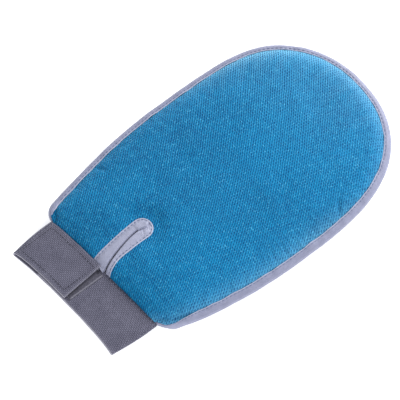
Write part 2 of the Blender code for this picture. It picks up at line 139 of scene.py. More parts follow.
# Cuff
CUFF_POWER = 2.6
CUFF_BULGE = 0.9 * MM
CUFF_THICK = 1.2 * MM
CUFF_RISE = 4.4 * MM
TAB_RISE = 8.8 * MM
UNDERLAP_X = -28 * MM
TAB_END_BORDER_X = -2.5 * MM
TAB_END_MOUTH_X = 0.5 * MM
PATCH_THICK = 0.9 * MM
PATCH_GAP = 0.3 * MM
TAB_SEAM_X = (-49 * MM, -4.5 * MM)
HOOK_X = (-44.5 * MM, -3.5 * MM)
LOOP_X = (-26 * MM, 3 * MM)
PATCH_Y = (-134 * MM, -102 * MM)
RIB_PITCH = 1.3 * MM
RIB_HEIGHT = 0.13 * MM
PICK_PITCH = 1.9 * MM
FOLD_TURN = -math.pi - 0.36  # the spiral's turn where the band ends and the closure tab starts
BAND_COLUMNS = 120
PATCH_COLUMNS = 40

# Palm pad
PAD_INSET = 12 * MM
PAD_START_Y = -84 * MM
PAD_CORNER = 12 * MM
PAD_BOTTOM = 4 * MM
PAD_TOP = 5.6 * MM
NUB_PITCH = 12 * MM
NUB_MARGIN = 6 * MM
NUB_TIP_RADIUS = 1.7 * MM
NUB_ROOT_RADIUS = 3 * MM

# How the worn cuff lies askew: its lean against the mitt's line, and its drop, at the border and at the mouth
LEAN = (0.065, 0.045)
DROP = (2.2 * MM, 0.9 * MM)
LEAN_START_Y = -60 * MM

# Where the outline leaves its plain curve: (where, how wide, how far it moves). The first is the fuller side
# of the fingertip and the second the cuff corner on the +X side.
WARPS = (
    ((-70 * MM, 92 * MM), 36 * MM, (-2.1 * MM, 2.0 * MM)),
    ((65 * MM, -92 * MM), 12 * MM, (-0.8 * MM, 2.2 * MM)),
)

# Sampling of the surfaces
CELL = 1.15 * MM
SIM_STRIDE = 3
SIM_FRAMES = 20
SIM_CAP = 2.2 * MM
SIM_SINK = 0.1 * MM
SIM_START = 0.97  # share of the panel's height that it swells from
SOFTEN_ROUNDS = 6
SOFTEN_RUN = 14 * MM  # how far from the slit's tape the swelling reaches its full height
HIDDEN_CELL = 2.4 * MM
HALVES_APART = 2e-6  # how close the two halves of a layer come where they meet
SLIT_HALF = 2.2 * MM  # half width of the slit that the back layers leave open
HALF_RUN = 70 * MM  # about how far the layers reach from the middle line to the tape
SWELL = {
    "quality": 6, "mass": 0.2, "tension_stiffness": 12, "compression_stiffness": 12,
    "shear_stiffness": 5, "bending_stiffness": 0.4, "use_pressure": True, "uniform_pressure_force": 1.8,
    "vertex_group_mass": "sewn",
}


# ---- Curves and smooth steps ----
def smooth(share):
    share = np.clip(share, 0.0, 1.0)
    return share * share * (3 - 2 * share)


def hump(distance, width):
    return np.exp(-((distance / width) ** 2))


def wave(along, pitch, phase=0.0):
    """An uneven wave from about -1 to 1, whose crests come about every pitch."""
    turn = FULL_TURN * along / pitch + phase
    second, third = np.sin(1.618 * turn + 2.1 * phase), np.sin(2.43 * turn + 4 * phase)
    return (np.sin(turn) + 0.6 * second + 0.4 * third) / 1.7


def power_of(value, power):
    """A signed power, for superellipses."""
    return np.sign(value) * np.abs(value) ** power


def lengths_along(path):
    steps = np.linalg.norm(np.diff(path, axis=0), axis=1)
    return np.concatenate([[0.0], np.cumsum(steps)])


def points_at(marks, along, path):
    """Points of a path at these marks, where along says how far on each of its own points lies."""
    return np.stack([np.interp(marks, along, column) for column in path.T], axis=1)


def resample(path, spacing):
    """The same path with even steps of about this length."""
    along = lengths_along(path)
    even = np.linspace(0, along[-1], max(2, round(along[-1] / spacing)) + 1)
    return points_at(even, along, path)


def outward(path):
    """Unit normals of a path in the plane, on its right."""
    along = np.gradient(path, axis=0)
    along /= np.linalg.norm(along, axis=1)[:, None]
    return np.stack([along[:, 1], -along[:, 0]], axis=1)


def lay(points):
    """Moves points as the worn cuff lies: leaning a little against the mitt's line, and lower."""
    points = np.array(points, float)
    x, y = points[..., 0], points[..., 1]
    near = smooth((LEAN_START_Y - y) / (LEAN_START_Y - CUFF_END_Y))
    past = np.clip((CUFF_END_Y - y) / (CUFF_END_Y - MOUTH_Y), 0, 1)
    lean = LEAN[0] + (LEAN[1] - LEAN[0]) * past
    drop = DROP[0] + (DROP[1] - DROP[0]) * past
    moved_x, moved_y = x, y + near * (lean * x - drop)
    for (at_x, at_y), width, (out_x, out_y) in WARPS:
        share = hump(np.hypot(x - at_x, y - at_y), width)
        moved_x, moved_y = moved_x + share * out_x, moved_y + share * out_y
    points[..., 0], points[..., 1] = moved_x, moved_y
    return points


def rim_half():
    """The mitt's outer edge on the +X side, from the cuff corner to the fingertip."""
    drop = (WIDEST_Y - CORNER_Y) / SIDE_RUN
    corner_x = HALF_WIDTH - SIDE_TAPER * drop**SIDE_POWER
    start = math.atan(SIDE_TAPER * SIDE_POWER / SIDE_RUN * drop ** (SIDE_POWER - 1))
    centre = (corner_x - CORNER_RADIUS * math.cos(start), CORNER_Y + CORNER_RADIUS * math.sin(start))
    turn = np.linspace(CORNER_END, start, 40, endpoint=False)
    corner = np.stack([centre[0] + CORNER_RADIUS * np.cos(turn), centre[1] - CORNER_RADIUS * np.sin(turn)], 1)
    y = np.linspace(CORNER_Y, WIDEST_Y, 120, endpoint=False)
    side = np.stack([HALF_WIDTH - SIDE_TAPER * ((WIDEST_Y - y) / SIDE_RUN) ** SIDE_POWER, y], 1)
    angle = np.linspace(0, math.pi / 2, 300)
    across, along = np.abs(np.cos(angle)) ** (2 / WIDTH_POWER), np.sin(angle) ** (2 / TIP_POWER)
    tip = np.stack([HALF_WIDTH * across, WIDEST_Y + (TIP_Y - WIDEST_Y) * along], 1)
    return resample(np.vstack([corner, side, tip]), 0.5 * MM)


RIM_HALF = rim_half()
RIM_HALF_OUT = outward(RIM_HALF)
RIM_HALF_OUT[-1] = (0.0, 1.0)


def inset_half(distance):
    """The half outline drawn in by this much."""
    return RIM_HALF - RIM_HALF_OUT * distance


def whole(half):
    """A half path and its mirror image, from the +X cuff corner round the tip to the other."""
    return np.vstack([half, half[-2::-1] * (-1, 1)])


def share_from_corner(from_corner, side, stretches):
    """Share from 0 to 1 of that side's stretch that lies behind this distance from its cuff corner."""
    start, end = stretches[side]
    return smooth((from_corner - start) / (end - start))


def tape_reach_share(from_corner, side):
    """Share of its full reach that the tape has at this distance along the rim from a side's cuff corner."""
    return NARROWEST + (1 - NARROWEST) * share_from_corner(from_corner, side, NARROWING)


# The line where the layers leave the tape and start to rise, with the stretch along the cuff in front
PILLOW_HALF = np.vstack([[(BORDER_HALF - (PILLOW_INSET - LAYER_INSET), BORDER_Y)], inset_half(PILLOW_INSET)])
PILLOW_RISING = PILLOW_HALF[PILLOW_HALF[:, 1] <= FAN_Y + MM]
PILLOW_FAN = PILLOW_HALF[PILLOW_HALF[:, 1] >= FAN_Y]


def crown_share(x, y):
    """How far a point lies from the middle line towards the edge, 0 to 1."""
    side = np.abs(x) / np.interp(y, PILLOW_RISING[:, 1], PILLOW_RISING[:, 0])
    angles = np.arctan2(PILLOW_FAN[:, 1] - FAN_Y, PILLOW_FAN[:, 0])
    reach = np.hypot(PILLOW_FAN[:, 0], PILLOW_FAN[:, 1] - FAN_Y)
    angle = np.arctan2(np.maximum(y - FAN_Y, 0.0), np.abs(x) + 1e-9)
    fan = np.hypot(x, y - FAN_Y) / np.interp(angle, angles, reach)
    return np.clip(np.where(y < FAN_Y, side, fan), 0.0, 1.0)


def back_height(x, y):
    """Share of its full height that the back has at a point."""
    height = (1 - crown_share(x, y) ** CROWN_POWER) ** BACK_FULLNESS
    height = height * (1 - CUFF_EASE * smooth((EASE_START_Y - y) / (EASE_START_Y - BORDER_Y)))
    near = np.clip((y - BORDER_Y) / ROLL_RUN, 0, 1)
    left = ROLL_LEFT[0] + (ROLL_LEFT[1] - ROLL_LEFT[0]) * smooth((2 * MM - x) / (6 * MM))
    return height * (left + (1 - left) * np.sqrt(1 - (1 - near) ** 2))


def palm_height(x, y):
    return (1 - crown_share(x, y) ** CROWN_POWER) ** PALM_FULLNESS


def swung(y, swing):
    """How far a line with this swing has moved towards +X at y."""
    start, run, amount, power = swing
    return amount * (np.maximum(0.0, start - y) / run) ** power


def slit_line(y):
    """X of the slit, and of the seamless middle line past its end."""
    return SLIT_X * (1 - smooth((y - SLIT_END_Y) / (70 * MM))) + swung(y, SLIT_SWING)


def lip_distance(x, y):
    """Distance of a point from the outer edge of the slit's tape: negative inside it."""
    centre_y = LIP_END_Y - LIP_HALF
    left = (LIP_X - LIP_HALF + swung(y, LEFT_LIP_SWING)) - x
    right = x - (LIP_X + LIP_HALF + swung(y, RIGHT_LIP_SWING))
    straight = np.maximum(left, right)
    round_end = np.hypot(x - LIP_X, y - centre_y) - LIP_HALF
    return np.where(y < centre_y, straight, round_end)


# ---- Mesh making ----
def grid_faces(rows, columns, first=0, wrap=False):
    """Quads of a grid of points, whose columns may close on themselves."""
    index = np.arange(rows * columns).reshape(rows, columns) + first
    if wrap:
        index = np.hstack([index, index[:, :1]])
    return np.stack([index[:-1, :-1], index[:-1, 1:], index[1:, 1:], index[1:, :-1]], axis=-1).reshape(-1, 4)


def link(obj):
    bpy.context.scene.collection.objects.link(obj)
    return obj


def add_mesh(name, points, faces, material, **marks):
    """A smooth mesh object. Each mark is one number a point, which its material may read by name."""
    mesh = bpy.data.meshes.new(name)
    mesh.from_pydata(lay(points).reshape(-1, 3).tolist(), [], [list(face) for face in faces])
    mesh.update()
    mesh.shade_smooth()
    mesh.materials.append(material)
    for mark, values in marks.items():
        layer = mesh.attributes.new(mark, "FLOAT", "POINT")
        layer.data.foreach_set("value", np.asarray(values, np.float32).ravel())
    return link(bpy.data.objects.new(name, mesh))


def slab_faces(rows, columns, first=0):
    """Faces of a closed slab: a grid of top points, then the same grid of bottom points."""
    count = rows * columns
    top = np.arange(count).reshape(rows, columns) + first
    bottom = top + count
    edge = np.concatenate([top[0, :-1], top[:-1, -1], top[-1, :0:-1], top[:0:-1, 0]])
    under = np.concatenate([bottom[0, :-1], bottom[:-1, -1], bottom[-1, :0:-1], bottom[:0:-1, 0]])
    walls = np.stack([edge, np.roll(edge, -1), np.roll(under, -1), under], axis=-1)
    upper, lower = grid_faces(rows, columns, first)[:, ::-1], grid_faces(rows, columns, first + count)
    return np.vstack([upper, lower, walls])


def add_slabs(name, slabs, material, **marks):
    """Closed sheets between top and bottom grids of points, as one piece. Each mark is a grid of numbers."""
    points, faces, first = [], [], 0
    for top, bottom in slabs:
        rows, columns = top.shape[:2]
        points += [top.reshape(-1, 3), bottom.reshape(-1, 3)]
        faces.append(slab_faces(rows, columns, first))
        first += 2 * rows * columns
    marks = {mark: np.tile(np.ravel(values), 2 * len(slabs)) for mark, values in marks.items()}
    made = add_mesh(name, np.concatenate(points), np.vstack(faces), material, **marks)
    weld(made)
    return made


def tube_faces(rings, sides, first=0):
    """Faces of a closed tube: rings of points, with a cap on each end."""
    last = first + (rings - 1) * sides
    caps = [list(range(first, first + sides)), list(range(last + sides - 1, last - 1, -1))]
    return grid_faces(rings, sides, first, wrap=True).tolist() + caps


def weld(obj, apart=1e-7, halves=False):
    """Welds points this close together and turns the faces outwards.

    With halves, it also removes the wall between a layer's two halves, where they meet past the slit's end.
    """
    work = bmesh.new()
    work.from_mesh(obj.data)
    bmesh.ops.remove_doubles(work, verts=work.verts, dist=apart)
    if halves:
        inner = [face for face in work.faces if sum(len(edge.link_faces) > 2 for edge in face.edges) > 1]
        bmesh.ops.delete(work, geom=inner, context="FACES_ONLY")
    bmesh.ops.recalc_face_normals(work, faces=work.faces)
    work.to_mesh(obj.data)
    work.free()


def grid_normals(points):
    across = np.gradient(points, axis=1)
    along = np.gradient(points, axis=0)
    normals = np.cross(across, along)
    return normals / np.maximum(np.linalg.norm(normals, axis=-1, keepdims=True), 1e-12)


def add_stitches(name, path, up, material, length=2.4 * MM, pitch=3.2 * MM, radius=0.22 * MM):
    """Separate stitches along a path: short threads that rise out of the cloth and dip back into it."""
    sides, rings = 6, 7
    along = lengths_along(path)
    count = max(1, int((along[-1] - length) / pitch))
    starts = np.arange(count) * pitch + (along[-1] - (count - 1) * pitch - length) / 2
    share = np.linspace(-1, 1, rings)
    thick = radius * np.sqrt(1 - 0.75 * share**6)
    points = []
    for start in starts:
        marks = start + np.linspace(0, length, rings)
        lift = points_at(marks, along, up)
        lift /= np.linalg.norm(lift, axis=1)[:, None]
        centre = points_at(marks, along, path) + lift * (radius * (0.7 - 1.9 * share**4))[:, None]
        beside = np.cross(np.gradient(centre, axis=0), lift)
        beside /= np.linalg.norm(beside, axis=1)[:, None]
        for turn in FULL_TURN * np.arange(sides) / sides:
            points.append(centre + (beside * math.cos(turn) + lift * math.sin(turn)) * thick[:, None])
    grid = np.array(points).reshape(count, sides, rings, 3).transpose(0, 2, 1, 3)
    faces = [face for stitch in range(count) for face in tube_faces(rings, sides, stitch * rings * sides)]
    made = add_mesh(name, grid, faces, material)
    weld(made)
    return made


def place(obj, body, slot, *nodes):
    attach(obj, body)
    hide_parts(*nodes)
    return obj


# ---- Materials ----
class Value:
    """A number or colour that a node gives. Arithmetic on it adds more nodes."""

    def __init__(self, finish, socket):
        self.finish, self.socket = finish, socket

    def __add__(self, other):
        return self.finish.math("ADD", self, other)

    def __sub__(self, other):
        return self.finish.math("SUBTRACT", self, other)

    def __mul__(self, other):
        return self.finish.math("MULTIPLY", self, other)

    def __truediv__(self, other):
        return self.finish.math("DIVIDE", self, other)


class Finish:
    """One procedural material, built up by short calls that each add a node."""

    def __init__(self, name, roughness, sheen=0.0, sheen_roughness=0.4, sheen_tint=(1, 1, 1), specular=0.3):
        self.material = bpy.data.materials.new(name)
        self.material.use_nodes = True
        self.tree = self.material.node_tree
        self.shader = self.tree.nodes["Principled BSDF"]
        for setting, value in (("Roughness", roughness), ("Sheen Weight", sheen),
                               ("Sheen Roughness", sheen_roughness), ("Sheen Tint", (*sheen_tint, 1)),
                               ("Specular IOR Level", specular)):
            self.put(self.shader.inputs[setting], value)
        self.place = self.node("TexCoord", "Object")

    def put(self, socket, value):
        if isinstance(value, Value):
            self.tree.links.new(value.socket, socket)
        else:
            socket.default_value = value

    def node(self, kind, output, inputs=(), **settings):
        """Adds a node and gives one of its outputs. The inputs are pairs of a name or number and a value."""
        node = self.tree.nodes.new("ShaderNode" + kind)
        for setting, value in settings.items():
            setattr(node, setting, value)
        for key, value in inputs:
            self.put(node.inputs[key], value)
        return Value(self, node.outputs[output])

    def math(self, operation, *values, clamp=False):
        return self.node("Math", 0, enumerate(values), operation=operation, use_clamp=clamp)

    def noise(self, size, detail=2.0):
        """Noise with features about this big."""
        return self.node("TexNoise", "Fac", [("Vector", self.place), ("Scale", 1 / size), ("Detail", detail)])

    def cells(self, size):
        """Distance from the middles of cells about this big."""
        return self.node("TexVoronoi", "Distance", [("Vector", self.place), ("Scale", 1 / size)])

    def axes(self):
        node = self.tree.nodes.new("ShaderNodeSeparateXYZ")
        self.put(node.inputs[0], self.place)
        return [Value(self, socket) for socket in node.outputs]

    def random(self, x, y):
        """A number from 0 to 1 that belongs to this pair of numbers."""
        pair = self.node("CombineXYZ", 0, enumerate((x, y)))
        return self.node("TexWhiteNoise", "Value", [("Vector", pair)])

    def span(self, value, low, high, to_low=0.0, to_high=1.0):
        """Value from low..high brought to to_low..to_high, and held there past the ends."""
        return self.node("MapRange", 0, enumerate((value, low, high, to_low, to_high)))

    def blend(self, share, first, second):
        first, second = (value if isinstance(value, Value) else (*value, 1) for value in (first, second))
        return self.node("Mix", 2, ((0, share), (6, first), (7, second)), data_type="RGBA")

    def mark(self, name):
        """A number that the mesh carries."""
        return self.node("Attribute", "Fac", attribute_name=name)

    def bump(self, height, distance, strength=1.0):
        settings = [("Strength", strength), ("Distance", distance), ("Height", height)]
        self.put(self.shader.inputs["Normal"], self.node("Bump", 0, settings))

    def colour(self, value):
        self.put(self.shader.inputs["Base Color"], value)

    def rough(self, value):
        self.put(self.shader.inputs["Roughness"], value)


WALE_TURN = math.radians(40)  # of the knit's wales from the mitt's length, towards -X
WALE_BEND = 0.85  # how fast the wales turn further towards the tip, per metre
WALE_PITCH = 1.62 * MM
GAP_PITCH = 2.5 * MM
GAP_SHARE = (0.27, 0.38)  # half a gap's width and length, as shares of the two pitches


def knit_material():
    """Coarse blue warp knit: slanting wales with rows of small dark gaps between them, set in turn."""
    f = Finish("blue_knit", 0.6, sheen=0.45, sheen_roughness=0.22, sheen_tint=(0.25, 0.78, 1.0), specular=0.2)
    x, y, _ = f.axes()
    drift = (f.noise(22 * MM, 1) - 0.5) * (1.6 * MM)
    jitter = (f.noise(3.2 * MM, 1) - 0.5) * (0.8 * MM)
    along = y * math.cos(WALE_TURN) - x * math.sin(WALE_TURN)
    across = x * math.cos(WALE_TURN) + y * math.sin(WALE_TURN) + along * along * WALE_BEND + drift + jitter
    wales = across / WALE_PITCH
    wale = f.math("FLOOR", wales)
    beside = wales - wale - 0.5
    courses = along / GAP_PITCH + f.math("PINGPONG", wale, 1.0) * 0.5
    ahead = f.math("FRACT", courses) - 0.5
    own = f.random(wale, f.math("FLOOR", courses))
    wide, long = beside / GAP_SHARE[0], ahead / GAP_SHARE[1]
    gap = f.span(wide * wide + long * long, 0.35, 1.25, 1.0, 0.0)
    rib = f.math("ABSOLUTE", beside) * 2.0
    strand = f.noise(0.55 * MM, 2)
    patchy = f.noise(4.5 * MM, 3)
    spark = f.noise(1.1 * MM, 1)
    broad = f.noise(48 * MM, 2)
    yarn = f.blend(f.span(broad, 0.35, 0.65), (0.0, 0.137, 0.328), (0.0, 0.178, 0.410))
    yarn = f.blend(rib * f.span(patchy, 0.35, 0.7, 0.2, 1.0) * 0.5, yarn, (0.008, 0.362, 0.680))
    yarn = f.blend(f.span(spark, 0.58, 0.72, 0.0, 0.6), yarn, (0.10, 0.53, 0.82))
    # painted sheen highlight: the yarn is blended to pale cyan where the panel's sheen mark is set, towards
    # the fingertips and along the rims
    yarn = f.blend(f.mark("painted_sheen") * f.span(strand, 0.3, 0.7, 0.35, 1.6), yarn, (0.24, 0.60, 0.85))
    depth = gap * f.span(patchy, 0.3, 0.7, 0.8, 0.4)
    depth = f.math("MULTIPLY", depth, f.span(own, 0.0, 1.0, 0.6, 1.25), clamp=True)
    f.colour(f.blend(depth, yarn, (0.0, 0.055, 0.195)))
    f.rough(f.span(strand, 0.3, 0.7, 0.62, 0.85))
    f.bump(rib + strand * 0.5 - gap * 1.1, 0.4 * MM, 0.7)
    return f.material


def tape_material():
    """Smooth lavender-grey polyester tape with a very fine weave, and a painted highlight along its folded
    edges.
    """
    f = Finish("grey_tape", 0.45, sheen=0.3, sheen_roughness=0.3, specular=0.4)
    x, y, _ = f.axes()
    turn = FULL_TURN / (0.55 * MM)
    weave = f.math("SINE", (x + y) * turn) * f.math("SINE", (x - y) * turn)
    mottle = f.noise(6 * MM, 3)
    fine = f.noise(0.8 * MM, 2)
    base = f.blend(f.span(mottle, 0.3, 0.7), (0.245, 0.257, 0.372), (0.306, 0.318, 0.450))
    base = f.blend(f.span(fine, 0.4, 0.7) * 0.25, base, (0.19, 0.195, 0.27))
    # painted highlight: where the mesh marks a fold edge, the colour is blended to pale lavender, standing in
    # for light on the fold
    f.colour(f.blend(f.mark("edge_tint"), base, (0.66, 0.68, 0.80)))
    f.rough(f.span(mottle, 0.3, 0.7, 0.38, 0.55))
    f.bump(weave * 0.25 + fine, 0.12 * MM, 0.6)
    return f.material


def elastic_material():
    """Dark ribbed elastic: the ribs are in the mesh, and short picks cross them."""
    f = Finish("dark_elastic", 0.75, sheen=0.35, sheen_tint=(0.85, 0.85, 1.0), specular=0.25)
    ribs = f.mark("weave_across") / RIB_PITCH
    rib = f.math("COSINE", ribs * FULL_TURN)
    row = f.math("PINGPONG", f.math("FLOOR", ribs + 0.5), 1.0) * 0.5
    pick = f.math("SINE", (f.mark("weave_along") / PICK_PITCH + row) * FULL_TURN)
    speck = f.noise(0.7 * MM, 2)
    mottle = f.noise(9 * MM, 3)
    base = f.blend(f.span(mottle, 0.3, 0.7), (0.153, 0.150, 0.208), (0.200, 0.196, 0.265))
    shade = rib * 0.55 + pick * 0.45 + (speck - 0.5) * 2.5
    base = f.blend(f.span(shade, 0.55, -0.75, 0.0, 0.9), base, (0.030, 0.030, 0.052))
    # painted highlight: where the mesh marks the mouth's fold or the tab's end, the colour is blended to pale
    # grey, standing in for light on the fold
    f.colour(f.blend(f.mark("edge_tint"), base, (0.42, 0.41, 0.48)))
    f.rough(f.span(speck, 0.3, 0.7, 0.65, 0.85))
    f.bump(speck + pick * 0.5, 0.25 * MM, 0.8)
    return f.material


def cloth_material(name, first, second, size, weave_size=0.7 * MM):
    """Plain woven or brushed cloth in two shades."""
    roughness = 0.85
    f = Finish(name, roughness, sheen=0.2)
    x, y, _ = f.axes()
    turn = FULL_TURN / weave_size
    weave = f.math("SINE", x * turn) * f.math("SINE", y * turn)
    mottle = f.noise(size, 3)
    fine = f.noise(weave_size, 2)
    f.colour(f.blend(f.span(mottle, 0.3, 0.7), first, second))
    f.rough(f.span(fine, 0.3, 0.7, roughness - 0.1, roughness + 0.08))
    f.bump(fine + weave * 0.4, 0.15 * MM, 0.8)
    return f.material


def foam_material():
    """Pale open-cell foam."""
    f = Finish("pale_foam", 0.9, specular=0.2)
    cells = f.cells(0.9 * MM)
    f.colour(f.blend(f.span(cells, 0.1, 0.6), (0.50, 0.49, 0.42), (0.80, 0.79, 0.72)))
    f.rough(f.span(cells, 0.0, 0.7, 0.95, 0.8))
    f.bump(cells, 0.4 * MM, 0.8)
    return f.material


def rubber_material():
    """Moulded soft rubber, with dust in its pores and worn nub tips."""
    f = Finish("nub_rubber", 0.45, specular=0.5)
    _, _, z = f.axes()
    grain = f.noise(0.6 * MM, 3)
    mottle = f.noise(12 * MM, 3)
    tip = f.span(z, 1.4 * MM, 0.2 * MM)
    base = f.blend(f.span(mottle, 0.3, 0.7), (0.030, 0.115, 0.225), (0.045, 0.150, 0.285))
    f.colour(f.blend(tip * f.span(grain, 0.3, 0.7, 0.25, 0.7), base, (0.12, 0.26, 0.40)))
    f.rough(f.span(mottle, 0.3, 0.7, 0.38, 0.5) + tip * 0.2)
    f.bump(grain, 0.1 * MM, 0.5)
    return f.material


def thread_material(name, colour):
    """Twisted sewing thread."""
    f = Finish(name, 0.6, sheen=0.2)
    x, y, z = f.axes()
    twist = f.math("SINE", (x + y + z) * (FULL_TURN / (0.35 * MM)))
    lit = tuple(min(1.0, channel * 1.8) for channel in colour)
    f.colour(f.blend(f.span(twist, -1, 1), colour, lit))
    f.rough(f.span(twist, -1, 1, 0.5, 0.75))
    f.bump(twist, 0.05 * MM, 0.8)
    return f.material


def pile_material(name, dark, light, size, depth):
    """Hook or loop tape: a ground of many small loops."""
    f = Finish(name, 0.9, sheen=0.5, sheen_roughness=0.5, specular=0.2)
    loops = f.cells(size)
    mottle = f.noise(5 * MM, 3)
    pile = f.blend(f.span(loops, 0.0, 0.7) * f.span(mottle, 0.2, 0.8, 0.5, 1.0), light, dark)
    # painted highlight: where the mesh marks the pad's end, the colour is blended to pale grey, standing in
    # for light on its edge
    f.colour(f.blend(f.mark("edge_tint"), pile, (0.40, 0.39, 0.46)))
    f.rough(f.span(mottle, 0.3, 0.7, 0.8, 0.95))
    f.bump(loops, depth, 0.9)
    return f.material


KNIT = knit_material()
TAPE = tape_material()
ELASTIC = elastic_material()
LINING = cloth_material("lining_cloth", (0.15, 0.17, 0.22), (0.20, 0.22, 0.28), 9 * MM)
PALM_CLOTH = cloth_material("palm_cloth", (0.10, 0.12, 0.17), (0.15, 0.17, 0.23), 7 * MM, weave_size=0.9 * MM)
FOAM = foam_material()
RUBBER = rubber_material()
HOOK = pile_material("hook_tape", (0.03, 0.03, 0.045), (0.10, 0.10, 0.13), 0.8 * MM, 0.2 * MM)
LOOP = pile_material("loop_tape", (0.02, 0.02, 0.035), (0.12, 0.115, 0.16), 0.6 * MM, 0.3 * MM)
THREAD = thread_material("seam_thread", (0.08, 0.10, 0.19))
CUFF_THREAD = thread_material("cuff_thread", (0.018, 0.018, 0.030))


# ---- Camera, floor and light ----
CAMERA_AZIMUTH = 51.0
CAMERA_ELEVATION = 63.5
CAMERA_DISTANCE = 8.0
VIEW_WIDTH = 283.2 * MM  # what the picture's width takes in at the mitt
SENSOR = 36.0
AIM_RIGHT = -10.4 * MM
AIM_UP = 0.5 * MM
FLOOR_HALF = 3.0
FLOOR_DROP = 0.2 * MM  # how far the floor lies under the nubs
FLOOR_GLOW = 0.6
WORLD_GLOW = 0.49


def add_camera():
    azimuth, elevation = math.radians(CAMERA_AZIMUTH), math.radians(CAMERA_ELEVATION)
    back = Vector((math.sin(azimuth) * math.cos(elevation), -math.cos(azimuth) * math.cos(elevation),
                   math.sin(elevation)))
    right = Vector((math.cos(azimuth), math.sin(azimuth), 0))
    up = back.cross(right)
    data = bpy.data.cameras.new("camera")
    data.sensor_width = SENSOR
    data.lens = SENSOR * CAMERA_DISTANCE / VIEW_WIDTH
    data.clip_start, data.clip_end = 0.05, 20
    camera = link(bpy.data.objects.new("camera", data))
    turn = Matrix((right, up, back)).transposed().to_4x4()
    aim = right * AIM_RIGHT + up * AIM_UP
    camera.matrix_world = Matrix.Translation(aim + back * CAMERA_DISTANCE) @ turn
    bpy.context.scene.camera = camera


def add_light(name, size, power, location, colour=(1, 1, 1)):
    data = bpy.data.lights.new(name, "AREA")
    data.shape = "DISK"
    data.size = size
    data.energy = power
    data.color = colour
    light = link(bpy.data.objects.new(name, data))
    light.location = location
    light.rotation_euler = (-Vector(location)).to_track_quat("-Z", "Y").to_euler()


def add_stage():
    mesh = bpy.data.meshes.new("floor")
    corners = [(x * FLOOR_HALF, y * FLOOR_HALF, 0) for x, y in ((-1, -1), (1, -1), (1, 1), (-1, 1))]
    mesh.from_pydata(corners, [], [(0, 1, 2, 3)])
    material = bpy.data.materials.new("pale_floor")
    material.use_nodes = True
    shader = material.node_tree.nodes["Principled BSDF"]
    shader.inputs["Base Color"].default_value = (0.93, 0.93, 0.94, 1)
    shader.inputs["Roughness"].default_value = 0.9
    shader.inputs["Emission Color"].default_value = (1, 1, 1, 1)
    shader.inputs["Emission Strength"].default_value = FLOOR_GLOW
    tree = material.node_tree
    below = tree.nodes.new("ShaderNodeNewGeometry").outputs["Backfacing"]
    clear = tree.nodes.new("ShaderNodeBsdfTransparent").outputs[0]
    either = tree.nodes.new("ShaderNodeMixShader")
    for socket, value in zip(either.inputs, (below, shader.outputs[0], clear)):
        tree.links.new(value, socket)
    tree.links.new(either.outputs[0], tree.nodes["Material Output"].inputs["Surface"])
    mesh.materials.append(material)
    floor = link(bpy.data.objects.new("floor", mesh))
    floor.location.z = -FLOOR_DROP

    world = bpy.data.worlds.new("studio")
    world.use_nodes = True
    world.node_tree.nodes["Background"].inputs["Color"].default_value = (0.95, 0.97, 1.0, 1)
    world.node_tree.nodes["Background"].inputs["Strength"].default_value = WORLD_GLOW
    bpy.context.scene.world = world
    bpy.context.scene.view_settings.view_transform = "Standard"
    add_light("key", 0.8, 36, (-0.25, 1.55, 0.9))
    add_light("fill", 1.0, 12, (1.1, -0.75, 1.0), (0.97, 0.98, 1.0))


# ---- Padded layers ----
def column_shares(count):
    """Shares from the middle line to the edge, closer together towards the edge."""
    even = np.linspace(0, 1, count)
    return 1 - (1 - even) ** 1.5 * (1 - 0.35 * even)


def half_grid(side, spacing, slit_half=0.0):
    """Plan positions of one half of the layers, from the slit or middle line out to the tape.

    Rows run from the cuff round to the fingertip. side is +1 for the +X half and -1 for the other.
    """
    pillow = resample(PILLOW_HALF, spacing)
    pillow_x, pillow_y = pillow[:, 0] * side, pillow[:, 1]
    straight, bend = 40 * MM, 50 * MM
    spine_y = np.where(pillow_y < straight, pillow_y, straight + bend * np.tanh((pillow_y - straight) / bend))
    open_half = slit_half * np.sqrt(np.clip((SLIT_END_Y + slit_half - spine_y) / (2 * MM), 0, 1))
    spine_x = slit_line(spine_y) + side * open_half
    shares = column_shares(round(HALF_RUN / spacing))
    x = spine_x[:, None] + (pillow_x - spine_x)[:, None] * shares
    y = spine_y[:, None] + (pillow_y - spine_y)[:, None] * shares
    return x, y


def layer_slabs(layer, height_of, spacing, slit_half=0.0, lifts=(0.0, 0.0), tuck=None):
    """Top and bottom grids of both halves of a layer, which reach into the tape by two more columns.

    With a tuck, the rise and end height that turned_under() takes, the layer is an outer cloth: its edge
    follows the tape where it narrows towards its ends, and it turns in under the cuff.
    """
    (edge_bottom, edge_top), (middle_bottom, middle_top) = layer
    slabs = []
    for side, lift in zip((1, -1), lifts):
        x, y = half_grid(side, spacing, slit_half)
        height = height_of(x, y)
        inset = LAYER_INSET
        if tuck is not None:
            narrowed = LAYER_INSET * tape_reach_share(lengths_along(RIM_HALF), side)[:, None] + 0.3 * MM
            inset = np.minimum(narrowed, LAYER_INSET)
        edge = resample(np.vstack([[(BORDER_HALF, BORDER_Y)], inset_half(inset)]), 0.4 * MM)
        edge = points_at(np.linspace(0, len(edge) - 1, len(x)), np.arange(len(edge)), edge) * (side, 1)
        halfway = (np.stack([x[:, -1], y[:, -1]], -1) + edge) / 2
        slab = []
        for edge_z, middle_z in ((edge_top, middle_top), (edge_bottom, middle_bottom)):
            grid = np.stack([x, y, edge_z + (middle_z - edge_z) * height + lift], -1)
            rims = [np.column_stack([spots, np.full(len(x), edge_z)])[:, None] for spots in (halfway, edge)]
            grid = np.concatenate([grid, *rims], 1)
            if tuck is None:
                grid[0] = bring_in(grid[0])
            else:
                grid = turned_under(grid, *tuck)
            slab.append(grid)
        slabs.append(slab)
    return slabs


def bring_in(row):
    """A hidden layer's row at the cuff, short of the cuff so that the outer cloths cover it."""
    return row * (HIDDEN_SHARE, 1, 1) + (0, HIDDEN_INSET, 0)


